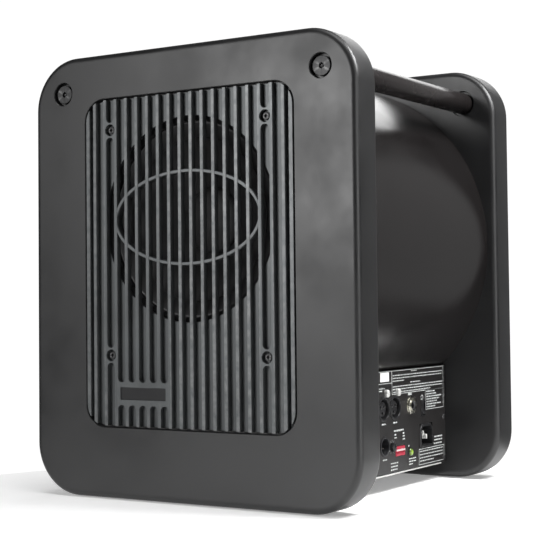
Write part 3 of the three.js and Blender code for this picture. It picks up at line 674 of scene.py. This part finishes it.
def badge():
    low, high = edges("badge_plate")
    outline = node_outline("badge_plate", "y", 0.8)
    plate = prism("badge_blank", outline, "y", low.y, high.y, 0.2, 2, 0.3)
    finish_piece(plate, BADGE_FACE, nodes=["badge_plate"])


# -------------------- the rolled drum

DRUM_Z = 234
DRUM_RADIUS = 166
SHEET = 2
DUCT = 18
MOUTH, FLARE_ANGLE, FLARE = 192, 12, 4
NARROW_FROM, NARROW_TO, INNER_END = -48, -128, -330


def sheet_radius(angle):
    inner = DRUM_RADIUS - SHEET - DUCT
    if angle > MOUTH - FLARE_ANGLE:
        share = (angle - MOUTH + FLARE_ANGLE) / FLARE_ANGLE
        return DRUM_RADIUS + FLARE * share * share
    share = min(max((angle - NARROW_FROM) / (NARROW_TO - NARROW_FROM), 0), 1)
    share = share * share * (3 - 2 * share)
    return DRUM_RADIUS + (inner - DRUM_RADIUS) * share


def on_drum(angle, depth):
    """A point of the sheet's section, at a depth inside its outer face."""
    return polar((0, DRUM_Z), sheet_radius(angle) - depth, angle)


def drum():
    step = 1.5
    angles = [MOUTH - i * step for i in range(int((MOUTH - INNER_END) / step) + 1)]
    outline = [on_drum(angle, 0) for angle in angles] + [on_drum(angle, SHEET) for angle in angles[::-1]]
    body = prism("drum_sheet", outline, "y", BAY_START, BAY_END)
    finish_piece(body, DRUM_PAINT, nodes=["spiral_shell"])
    rim = circle(*on_drum(MOUTH, SHEET / 2), 2.0, 24)
    hem = prism("drum_hem", rim, "y", BAY_START + 0.5, BAY_END - 0.5, 0.5)
    finish_piece(hem, DRUM_PAINT)


# -------------------- driver

CONE_BODY = "cone_assembly"
DRIVER_AXIS = (0, DRIVER_Z)
QUARTER_TURN = [math.pi / 2 * i / 12 for i in range(13)]


def thick(points, thickness):
    """A sheet profile made solid: the points, then the same shifted along y, in reverse."""
    return points + [(r, y + thickness) for r, y in reversed(points)]


def basket():
    low, high = edges("driver_basket")
    frame_profile = softened([
        (88, low.y), (104, low.y), (104, low.y + 4), (91.2, low.y + 4), (91.2, low.y + 18),
        (49.5, high.y - 1.3), (49.5, high.y), (24, high.y), (24, high.y - 2.5), (44.5, high.y - 2.5),
        (87.7, low.y + 16), (88, low.y + 6),
    ], 0.5)
    casting = lathe("basket_casting", frame_profile, "y", DRIVER_AXIS, 96, ring=True)
    windows = []
    outline = rounded(0, (low.y + 26 + high.y - 8) / 2, 34, high.y - low.y - 36, 6, 5)
    for i in range(6):
        window = prism("window", outline, "z", 42, 110)
        window.data.transform(Matrix.Rotation(math.radians(60 * i), 4, "Y"))
        window.data.transform(Matrix.Translation((0, 0, DRIVER_Z * MM)))
        windows.append(window)
    carve(casting, windows)
    finish_piece(casting, CAST_BLACK, nodes=["driver_basket"])
    seal = flat_ring("driver_gasket", 88.6, 101, low.y - 0.9, low.y - 0.1, "y", DRIVER_AXIS, 96, 0.3)
    finish_piece(seal, RUBBER)


def surround():
    start = edges("surround")[0].y
    outer, inner, lip = 87.8, 74.2, 1.5
    reach, depth = outer - lip - inner, edges("cone")[0].y - start
    crown = [(outer, start), (outer - lip, start)]
    crown += [
        (inner + reach * math.cos(t), start + depth * (1 - math.sqrt(max(1 - math.sin(t) ** 2, 0))))
        for t in QUARTER_TURN[1:]
    ]
    roll = lathe("surround_roll", thick(crown, 1.0), "y", DRIVER_AXIS, 96, ring=True)
    finish_piece(roll, SOFT_RUBBER, nodes=["surround"])


def cone():
    rim, neck = edges("cone")[0].y, edges("cone")[1].y - 1.4
    neck_radius, rim_radius, steps = 19.8, 73.6, 16
    points = []
    for i in range(steps + 1):
        share = i / steps
        radius = neck_radius + (rim_radius - neck_radius) * share
        points.append((radius, neck + (rim - neck) * share ** 0.8))
    paper = lathe("cone_paper", thick(points, 1.1), "y", DRIVER_AXIS, 96, ring=True)
    finish_piece(paper, PAPER, CONE_BODY, ["cone"])


def dust_cap():
    low, high = edges("dust_cap")
    radius, rise = 30, high.y - low.y - 1
    dome = [(radius * math.sin(t), high.y - 1 - rise * math.cos(t)) for t in QUARTER_TURN]
    cap = lathe("dust_cap_dome", thick(dome, 0.9), "y", DRIVER_AXIS, 72)
    finish_piece(cap, PAPER, CONE_BODY, ["dust_cap"])


def voice_coil():
    low, high = edges("voice_coil")
    former = flat_ring("voice_coil_winding", 18.3, 19.1, low.y, high.y, "y", DRIVER_AXIS, 64)
    finish_piece(former, COPPER, CONE_BODY, ["voice_coil"])


def spider():
    mid = middle("spider").y
    waves = [(20.4 + 23.4 * i / 60, mid - 0.4 + 1.1 * math.sin(i * math.pi / 6)) for i in range(61)]
    disc = lathe("spider_disc", thick(waves, 0.7), "y", DRIVER_AXIS, 72, ring=True)
    finish_piece(disc, CLOTH, nodes=["spider"], angle=60)


def motor():
    for node, material, slot, hole in (("top_plate", ZINC, "zinc_steel", 20.7),
                                       ("magnet", FERRITE, "ferrite", 31.2)):
        low, high = edges(node)
        radius = (high.x - low.x) / 2
        profile = softened([(hole, low.y), (radius, low.y), (radius, high.y), (hole, high.y),
                            (hole, (low.y + high.y) / 2)], 0.9)
        ring = lathe(f"{node}_ring", profile, "y", DRIVER_AXIS, 72, ring=True)
        finish_piece(ring, material, nodes=[node])
    low, high = edges("pole_yoke")
    plate_y = high.y - 8
    profile = softened([(0, low.y), (17.3, low.y), (17.3, plate_y), (56, plate_y), (56, high.y),
                        (0, high.y)], 1)
    yoke = lathe("pole_yoke_metal", profile, "y", DRIVER_AXIS, 72)
    finish_piece(yoke, ZINC, nodes=["pole_yoke"])


# -------------------- amplifier housing and inside parts

def housing():
    low, high = edges("amp_housing")
    sheet, bend = 2, 3.5
    corner = arc(low.x + bend, low.z + bend, bend, 270, 180, 6)
    inner_corner = arc(low.x + bend, low.z + bend, bend - sheet, 180, 270, 6)
    outline = [(high.x, low.z), *corner, (low.x, high.z), (low.x + sheet, high.z), *inner_corner,
               (high.x, low.z + sheet)]
    body = prism("housing_sheet", outline, "y", low.y, high.y)
    finish_piece(body, HOUSING_PAINT, nodes=["amp_housing"])


def transformer():
    low, high = edges("mains_transformer")
    outer, inner, bend = (high.x - low.x) / 2, 14, 9
    corners = [(outer - bend, low.z + bend, -90), (outer - bend, high.z - bend, 0),
               (inner + bend, high.z - bend, 90), (inner + bend, low.z + bend, 180)]
    profile = [point for r, z, start in corners for point in arc(r, z, bend, start, start + 90, 8)]
    centre = section_middle("mains_transformer", "z")
    ring = lathe("transformer_winding", profile, "z", centre, 90, ring=True)
    finish_piece(ring, COPPER, nodes=["mains_transformer"])


# Place in y and z, and radius.
CAPACITORS = ((-95, 40, 8), (-74, 40, 8), (-52, 44, 6), (60, 42, 9), (84, 42, 9))


def board():
    low, high = edges("amp_board")
    sheet = prism("board_sheet", node_outline("amp_board", "x", 2), "x", low.x, high.x, 0.2, 1)
    finish_piece(sheet, BOARD_GREEN, nodes=["amp_board"])
    foot, top = low.x - 0.3, low.x - 24
    for i, (y, z, radius) in enumerate(CAPACITORS):
        profile = softened([(0, foot), (radius, foot), (radius, top), (0, top)], 1.2)
        can = lathe(f"board_capacitor_{i}", profile, "x", (y, z), 32)
        finish_piece(can, CAPACITOR)


# -------------------- connector panel

INPUTS = range(1, 6)
OUTPUTS = range(1, 4)
SLIDERS = range(1, 8)
ROCKER_PIVOT_Z, ROCKER_TILT = 73.5, 8


def panel():
    low, high = edges("amp_panel")
    sheet = prism("panel_sheet", node_outline("amp_panel", "x", 1.2), "x", low.x, high.x, 0.4, 2, 0.4)

    def drilled(place, radius, chamfer=0.1, steps=48):
        return bore("x", place, radius, high.x, low.x - 1, chamfer, steps)

    def hole(node):
        a, b = edges(node)
        return drilled(section_middle(node), (b.y - a.y) / 2 + 0.2)

    def window(node, growth=0.35):
        a, b = edges(node)
        box = rectangle(a.y - growth, a.z - growth, b.y + growth, b.z + growth)
        return prism("window", box, "x", low.x - 1, high.x + 1)

    tools = [hole("level_knob"), hole("status_led"), window("power_rocker", 0.6), window("dip_block"),
             window("mains_inlet"), drilled(section_middle("bypass_jack"), 7.3, 0.15)]
    tools += [hole(f"xlr_input_{i}") for i in INPUTS] + [hole(f"xlr_output_{i}") for i in OUTPUTS]
    tools += [drilled(place, 1.9, steps=16) for place in panel_screw_places()]
    carve(sheet, tools)
    carve(sheet, [window(f"xlr_latch_{i}") for i in INPUTS])
    finish_piece(sheet, PANEL_PAINT, nodes=["amp_panel"])

    # The lip's light metal is partly a bare metal lip and partly a painted highlight standing in for the
    # floor's reflection along the panel's bottom edge.
    lip = rectangle(high.x - 3, low.z - 1.1, high.x + 0.6, low.z - 0.05)
    finish_piece(prism("panel_sill", lip, "y", low.y + 0.5, high.y - 12), SATIN_METAL)


def panel_screw_places():
    low, high = edges("amp_panel")
    return [(y, z) for y in (low.y + 5, high.y - 4.2) for z in (low.z + 4, 62)]


def small_screw(name, y, z, radius=2.6):
    """A pan-headed cross-slot screw on the panel."""
    top = PANEL_X + 1.5
    head = [(radius * math.sin(t), PANEL_X + 0.1 + 1.4 * math.cos(t)) for t in
            [math.pi / 2 * i / 6 for i in range(7)]]
    screw = lathe(name, head + [(1.4, PANEL_X + 0.1), (1.4, PANEL_X - 4), (0, PANEL_X - 4)], "x", (y, z), 28)
    for box in (rectangle(y - 1.5, z - 0.3, y + 1.5, z + 0.3), rectangle(y - 0.3, z - 1.5, y + 0.3, z + 1.5)):
        carve(screw, [prism("slot", box, "x", top - 0.8, top + 1)])
    finish_piece(screw, SCREW_METAL)


def panel_screws():
    for number, (y, z) in enumerate(panel_screw_places(), 1):
        small_screw(f"panel_screw_{number}", y, z)


def contact_places(centre, radius, mirror=1):
    """The places of an audio socket's three contacts; mirror is -1 on a socket and 1 on pins."""
    return [polar(centre, radius, mirror * angle) for angle in (90, 210, 330)]


def input_socket(index):
    node = f"xlr_input_{index}"
    low, high = edges(node)
    centre, face = section_middle(node), high.x
    profile = softened([(0, low.x), (11, low.x), (11, PANEL_X), (11.6, PANEL_X + 0.05), (11.6, face + 0.5),
                        (9.7, face + 0.5), (9.4, face - 0.4), (9.4, PANEL_X - 15), (6.7, PANEL_X - 15),
                        (6.7, PANEL_X - 1.2), (0, PANEL_X - 1.2)], 0.35)
    body = lathe(f"{node}_moulding", profile, "x", centre, 56)
    spots = contact_places(centre, 3.9, -1)
    carve(body, [bore("x", spot, 1.45, PANEL_X - 1.2, PANEL_X - 13, 0.3, 20) for spot in spots])
    finish_piece(body, BLACK_PLASTIC, nodes=[node])


def input_latch(index):
    node = f"xlr_latch_{index}"
    low, high = edges(node)
    outline = node_outline(node, "x", 2.7, 8)
    tab = prism(f"{node}_tab", outline, "x", low.x, high.x, 0.2, 5, 0.3, back_bevel=1.9)
    finish_piece(tab, SATIN_METAL, f"latch_{index}", [node])


def output_socket(index):
    node = f"xlr_output_{index}"
    low, high = edges(node)
    centre, face = section_middle(node), high.x
    profile = softened([(0, low.x), (8.6, low.x), (8.6, PANEL_X), (9.3, PANEL_X + 0.05), (9.3, face + 0.4),
                        (7.5, face + 0.4), (7.3, face - 0.4), (7.3, PANEL_X - 13), (0, PANEL_X - 13)], 0.3)
    finish_piece(lathe(f"{node}_shell", profile, "x", centre, 56), SOCKET_METAL, nodes=[node])
    foot, tip = PANEL_X - 13.5, PANEL_X - 3
    pin = [(0, foot), (1.2, foot), (1.2, tip - 1), (0.9, tip - 0.3), (0, tip)]
    pins = [lathe("pin", pin, "x", spot, 20) for spot in contact_places(centre, 4.6)]
    finish_piece(joined(f"{node}_pins", pins), BRIGHT_METAL)


def bypass_jack():
    node = "bypass_jack"
    low, high = edges(node)
    centre = section_middle(node)
    washer = flat_ring("jack_washer", 5.9, 8.6, PANEL_X + 0.05, PANEL_X + 0.5, "x", centre, 48, 0.15)
    finish_piece(washer, ZINC)
    nut = prism("jack_nut", arc(*centre, 8.6, 0, 300, 5), "x", PANEL_X + 0.55, PANEL_X + 2.3, 0.35, 2)
    carve(nut, [bore("x", centre, 5.6, PANEL_X + 2.3, PANEL_X, 0.4, 48)])
    finish_piece(nut, ZINC, angle=16)
    barrel = lathe("jack_barrel", softened([(4.9, high.x), (5.5, high.x), (5.5, low.x), (4.2, low.x),
                                            (4.9, low.x + 2)], 0.2), "x", centre, 48, ring=True)
    finish_piece(barrel, ZINC, nodes=[node])
    collar = lathe("jack_collar", softened([(3.2, high.x - 1.6), (4.85, high.x - 0.3), (4.85, high.x - 4),
                                            (3.2, high.x - 14)], 0.2), "x", centre, 40, ring=True)
    finish_piece(collar, BLACK_PLASTIC)


def power_switch():
    node = "power_rocker"
    low, high = edges(node)
    centre = Vector((PANEL_X, middle(node).y, ROCKER_PIVOT_Z))
    width, half, depth = high.y - low.y, 5.9, 6
    face = [(1.2 - 0.9 * math.cos(math.pi / 2 * i / 6), half * i / 6) for i in range(-6, 7)]
    section = [(-depth, -2), (-2, -half), *face, (-2, half), (-depth, 2)]
    rocker = make("rocker_cap", [
        [(x, y, z) for x, z in inset(section, soft)]
        for soft, y in ((0.35, -width / 2), (0, 0.35 - width / 2), (0, width / 2 - 0.35), (0.35, width / 2))
    ])
    rocker.data.transform(Matrix.Rotation(math.radians(-ROCKER_TILT), 4, "Y"))
    rocker.data.transform(Matrix.Translation(centre * MM))
    finish_piece(rocker, BLACK_PLASTIC, "rocker", [node])

    outer = rounded(centre.y, centre.z, width + 3.4, 2 * half + 4.0, 1.0, 4)
    bezel = prism("switch_bezel", outer, "x", PANEL_X + 0.05, PANEL_X + 0.9, 0.1, 2, 0.2, back_bevel=0.5)
    inner = rectangle(centre.y - width / 2 - 0.6, centre.z - 6.9, centre.y + width / 2 + 0.6, centre.z + 6.9)
    carve(bezel, [prism("opening", inner, "x", PANEL_X - 2, PANEL_X + 3)])
    finish_piece(bezel, BLACK_PLASTIC)


def inlet_outline(growth):
    low, high = edges("mains_inlet")
    chamfer = 5 + growth / 2
    left, right = low.y - growth, high.y + growth
    bottom, top = low.z - growth, high.z + growth
    return [(left, bottom), (right, bottom), (right, top - chamfer), (right - chamfer, top),
            (left + chamfer, top), (left, top - chamfer)]


def mains_inlet():
    low, high = edges("mains_inlet")
    body = prism("inlet_moulding", inlet_outline(0), "x", low.x, high.x + 0.3, 0.2, 3, 0.3, back_bevel=0.9)
    carve(body, [prism("cavity", inlet_outline(-2.2), "x", PANEL_X - 15, high.x + 2)])
    finish_piece(body, BLACK_PLASTIC, nodes=["mains_inlet"])
    blade_low, blade_high = edges("inlet_blades")
    y, z = middle("inlet_blades").y, middle("mains_inlet").z
    blades = []
    for column, lift in ((-1, -2), (0, 2), (1, -2)):
        outline = rounded(y + 7 * column, z + lift, 2.6, 4.8, 0.7, 4)
        blades.append(prism("blade", outline, "x", blade_low.x + 0.2, blade_high.x, 0.1, 2, 0, 0.5))
    finish_piece(joined("inlet_blade_set", blades), SATIN_METAL, nodes=["inlet_blades"])


def level_knob():
    node = "level_knob"
    top = edges(node)[1].x
    y, z = section_middle(node)
    teeth, radius, notch = 24, 3.9, 0.35
    outline = [
        polar((y, z), radius if i % 2 else radius - notch, 180 * i / teeth) for i in range(teeth * 2)
    ]
    cap = prism("knob_cap", outline, "x", PANEL_X - 1.5, top, 0.1, 3, 0, back_bevel=0.6)
    carve(cap, [prism("slot", rectangle(y - 0.45, z - 0.6, y + 0.45, z + 5), "x", top - 0.8, top + 1)])
    finish_piece(cap, BLACK_PLASTIC, "knob", [node])


def dip_switches():
    low, high = edges("dip_block")
    outline = node_outline("dip_block", "x", 0.9)
    block = prism("dip_body", outline, "x", low.x, high.x, 0.2, 2, 0.2, back_bevel=0.4)
    slots = []
    z = middle("dip_block").z
    for i in SLIDERS:
        y = middle(f"dip_slider_{i}").y
        box = rectangle(y - 0.75, z - 2.1, y + 0.75, z + 2.1)
        slots.append(prism("slot", box, "x", high.x - 1.9, high.x + 1))
    carve(block, slots)
    finish_piece(block, RED_PLASTIC, nodes=["dip_block"])
    for i in SLIDERS:
        node = f"dip_slider_{i}"
        low, high = edges(node)
        outline = node_outline(node, "x", 0.3, 3)
        tab = prism(f"{node}_tab", outline, "x", low.x, high.x, 0.05, 2, 0, back_bevel=0.2)
        finish_piece(tab, WHITE_PLASTIC, f"slider_{i}", [node])


def status_led():
    node = "status_led"
    low, high = edges(node)
    centre = section_middle(node)
    radius, rise = 3.8, 2.4
    turns = [math.pi / 2 * i / 8 for i in range(9)]
    dome = [(radius * math.cos(t), high.x - rise + rise * math.sin(t)) for t in turns]
    lens = lathe("led_dome", [(0, low.x), (radius, low.x), *dome], "x", centre, 40)
    lit_core(LED_LENS, Vector((high.x, *centre)), 3.6)
    finish_piece(lens, LED_LENS, nodes=[node])
    ring = flat_ring("led_ring", 3.95, 4.7, PANEL_X + 0.05, PANEL_X + 0.5, "x", centre, 40, 0.15)
    finish_piece(ring, BLACK_PLASTIC)


# -------------------- printed lines on the panel

INK = 0.06
LINE = 0.55
PRINT_RIGHT = 119.0
PRINT_TOP = edges("amp_panel")[1].z - 0.7
PRINT_LEFT = edges("amp_panel")[0].y + 10
FRAMES = (
    (7.6, 90.4, PRINT_RIGHT, PRINT_TOP), (78.0, 71.6, PRINT_RIGHT, 91.0), (62.5, 18.9, PRINT_RIGHT, 34.3),
    (-24.0, 101.2, 7.6, PRINT_TOP), (PRINT_LEFT, 19.5, -64.0, 56.0),
)
SOLID_MARKS = ((40.2, 38.9, 42.2, 40.5), (41.0, 87.9, 48.6, 90.2))
LIST_ENDS = (0.52, 0.6, 0.95, 0.8, 0.66, 0.9, 0.55)
# Blocks of dashes: left end, top, width, rows, pitch, height, share of the width in the last row.
BLOCKS = (
    (48, 111.6, 12, 1, 2.6, 0.95, 1),
    (9.4, 108.6, 107, 3, 2.6, 0.95, 0.22),
    (46, 100.9, 22, 1, 2.6, 0.95, 1),
    (9.4, 98.1, 107, 3, 2.6, 0.95, 0.75),
    *((80.6, 89.8 - 2.5 * row, 36 * end, 1, 2.6, 1.15, 1) for row, end in enumerate(LIST_ENDS)),
    (64.5, 32.2, 52, 4, 3.1, 0.95, 0.6),
    (97, 44.2, 18, 2, 3.2, 1.3, 1),
    (96, 37.6, 19, 1, 2.6, 1.3, 1),
    (10.5, 57.0, 20, 1, 2.6, 1.5, 1),
    (11.5, 53.2, 4.5, 2, 2.9, 1.3, 1),
    (28.5, 53.6, 4.5, 3, 2.8, 1.3, 1),
    (3.5, 26.8, 15, 3, 3.0, 1.1, 0.9),
    (41, 27.6, 15, 3, 2.6, 0.95, 0.6),
)


def framed(y0, z0, y1, z1):
    """Four thin strips round a rectangle, each as low y, low z, high y, high z."""
    return [(y0, z0, y1, z0 + LINE), (y0, z1 - LINE, y1, z1),
            (y0, z0 + LINE, y0 + LINE, z1 - LINE), (y1 - LINE, z0 + LINE, y1, z1 - LINE)]


def dashes(left, top, width, rows, pitch, height, last):
    """Rows of short plain dashes with gaps, which say nothing."""
    boxes = []
    for row in range(rows):
        z = top - row * pitch
        end = left + width * (last if row == rows - 1 else 1)
        y = left
        while y < end - 0.8:
            length = min(print_random.uniform(1.6, 5.0), end - y)
            boxes.append((y, z - height, y + length, z))
            y += length + 0.75
    return boxes


def knob_marks(y, z):
    """Two circles of square dots round the knob."""
    half = 0.25
    boxes = []
    for angle in range(-150, 151, 30):
        for reach in (5.6, 6.5):
            dot_y, dot_z = polar((y, z), reach, 90 - angle)
            boxes.append((dot_y - half, dot_z - half, dot_y + half, dot_z + half))
    return boxes


def panel_print():
    boxes = [strip for frame_box in FRAMES for strip in framed(*frame_box)]
    boxes += [*SOLID_MARKS, *knob_marks(*section_middle("level_knob"))]
    for block in BLOCKS:
        boxes += dashes(*block)
    for i in INPUTS:
        y = middle(f"xlr_input_{i}").y
        boxes += dashes(y - 4, 64.6, 8, 1, 2.6, 1.2, 1)
        if i > 1:
            boxes += dashes(y - 9, 97.6, 12, 2, 2.2, 0.95, 0.6)
    for i in OUTPUTS:
        boxes += dashes(middle(f"xlr_output_{i}").y - 4, 31.6, 8, 1, 2.6, 1.2, 1)
    boxes += dashes(PRINT_LEFT + 2.5, 53.0, 42, 10, 3.2, 0.95, 0.6)

    start, end = PANEL_X + 0.01, PANEL_X + INK
    shapes = [prism("ink", rectangle(*box), "x", start, end) for box in boxes]
    ground_mark = (middle("power_rocker").y - 1.7, 84.2)
    shapes.append(flat_ring("ring", 1.9, 2.5, start, end, "x", ground_mark, 32))
    finish_piece(joined("panel_print", shapes), PRINT_INK)

    label = rounded(-7.0, 107.6, 17.6, 8.6, 0.5, 3)
    sticker = prism("blank_sticker", label, "x", PANEL_X + 0.02, PANEL_X + 0.16, 0.04, 1)
    finish_piece(sticker, STICKER)


# -------------------- camera, floor and lights

CAMERA_PLACE = (0.7248, -1.1619, 0.1789)
CAMERA_AZIMUTH, CAMERA_ELEVATION, CAMERA_ROLL = 32.18, 2.22, -0.60
CAMERA_LENS = 91.22
CAMERA_SHIFT_Y = -0.0495
# Name, place, target, width and height in metres, and power in watts.
SOFT_LIGHTS = (
    ("face_softbox", (-0.75, -2.06, 0.62), (0.1, -0.16, 0.25), 0.8, 0.8, 26),
    ("back_softbox", (-0.35, 1.9, 1.5), (0, 0, 0.3), 1.1, 0.8, 8),
    ("back_glow", (0.85, 2.0, 0.4), (0.1, 0, 0.2), 1.5, 1.8, 1.9),
    ("side_softbox", (2.1, -0.7, 0.3), (0.17, 0, 0.2), 1.0, 1.0, 13),
    ("panel_light", (0.56, 0.05, 0.76), (0.12, 0.03, 0.06), 0.3, 0.3, 9),
)
OVERHEAD_STRENGTH = 1.4
WORLD_SEEN, WORLD_LIGHT = 1.05, 0.06


def camera():
    azimuth, elevation, roll = map(math.radians, (CAMERA_AZIMUTH, CAMERA_ELEVATION, CAMERA_ROLL))
    forward = Vector((-math.sin(azimuth) * math.cos(elevation), math.cos(azimuth) * math.cos(elevation),
                      math.sin(elevation)))
    level_right = Vector((math.cos(azimuth), math.sin(azimuth), 0))
    level_up = level_right.cross(forward)
    right = level_right * math.cos(roll) + level_up * math.sin(roll)
    up = level_up * math.cos(roll) - level_right * math.sin(roll)
    turn = Matrix((right, up, -forward)).transposed().to_4x4()
    data = bpy.data.cameras.new("camera")
    data.sensor_width = 36
    data.lens = CAMERA_LENS
    data.shift_y = CAMERA_SHIFT_Y
    data.clip_end = 60
    made = linked("camera", data)
    made.matrix_world = Matrix.Translation(CAMERA_PLACE) @ turn
    bpy.context.scene.camera = made


def floor():
    material = surface("floor_white", (0.95, 0.95, 0.95), 0.7, grain_mm=30, grain=0.0, mottle=0.01,
                       specular=0.2, emission=0.25)
    disc = prism("floor", circle(110, -200, 440, 96), "z", -2, 0)
    disc.data.materials.append(material)


def soft_light(name, place, target, width, height, power):
    data = bpy.data.lights.new(name, "AREA")
    data.shape = "RECTANGLE"
    data.size = width
    data.size_y = height
    data.energy = power
    made = linked(name, data)
    made.location = place
    made.rotation_mode = "QUATERNION"
    made.rotation_quaternion = (Vector(target) - Vector(place)).to_track_quat("-Z", "Y")


def overhead():
    """An even wash from above with a very soft edge."""
    data = bpy.data.lights.new("overhead", "SUN")
    data.energy = OVERHEAD_STRENGTH
    data.angle = math.radians(32)
    linked("overhead", data).rotation_euler = (math.radians(6), math.radians(8), 0)


def world():
    """White to the camera, and a faint even light on everything else."""
    made = bpy.data.worlds.new("world")
    bpy.context.scene.world = made
    made.use_nodes = True
    nodes, links = made.node_tree.nodes, made.node_tree.links
    path = nodes.new("ShaderNodeLightPath")
    mix = nodes.new("ShaderNodeMixShader")
    links.new(path.outputs["Is Camera Ray"], mix.inputs["Fac"])
    backgrounds = ((nodes.new("ShaderNodeBackground"), WORLD_LIGHT), (nodes["Background"], WORLD_SEEN))
    for i, (background, strength) in enumerate(backgrounds, 1):
        background.inputs["Color"].default_value = (1, 1, 1, 1)
        background.inputs["Strength"].default_value = strength
        links.new(background.outputs["Background"], mix.inputs[i])
    links.new(mix.outputs["Shader"], nodes["World Output"].inputs["Surface"])


def stage():
    bpy.context.scene.view_settings.view_transform = "Standard"
    camera()
    floor()
    world()
    overhead()
    for light in SOFT_LIGHTS:
        soft_light(*light)


# -------------------- assembly

stage()
for build in (front_plate, rear_plate, feet, tie_rods, rod_bolts, grille, badge, grille_screws, drum,
              basket, surround, cone, dust_cap, voice_coil, spider, motor, housing, transformer, board,
              panel, panel_screws):
    build()
for number in INPUTS:
    input_socket(number)
    input_latch(number)
for number in OUTPUTS:
    output_socket(number)
for build in (bypass_jack, power_switch, mains_inlet, level_knob, dip_switches, status_led, panel_print):
    build()
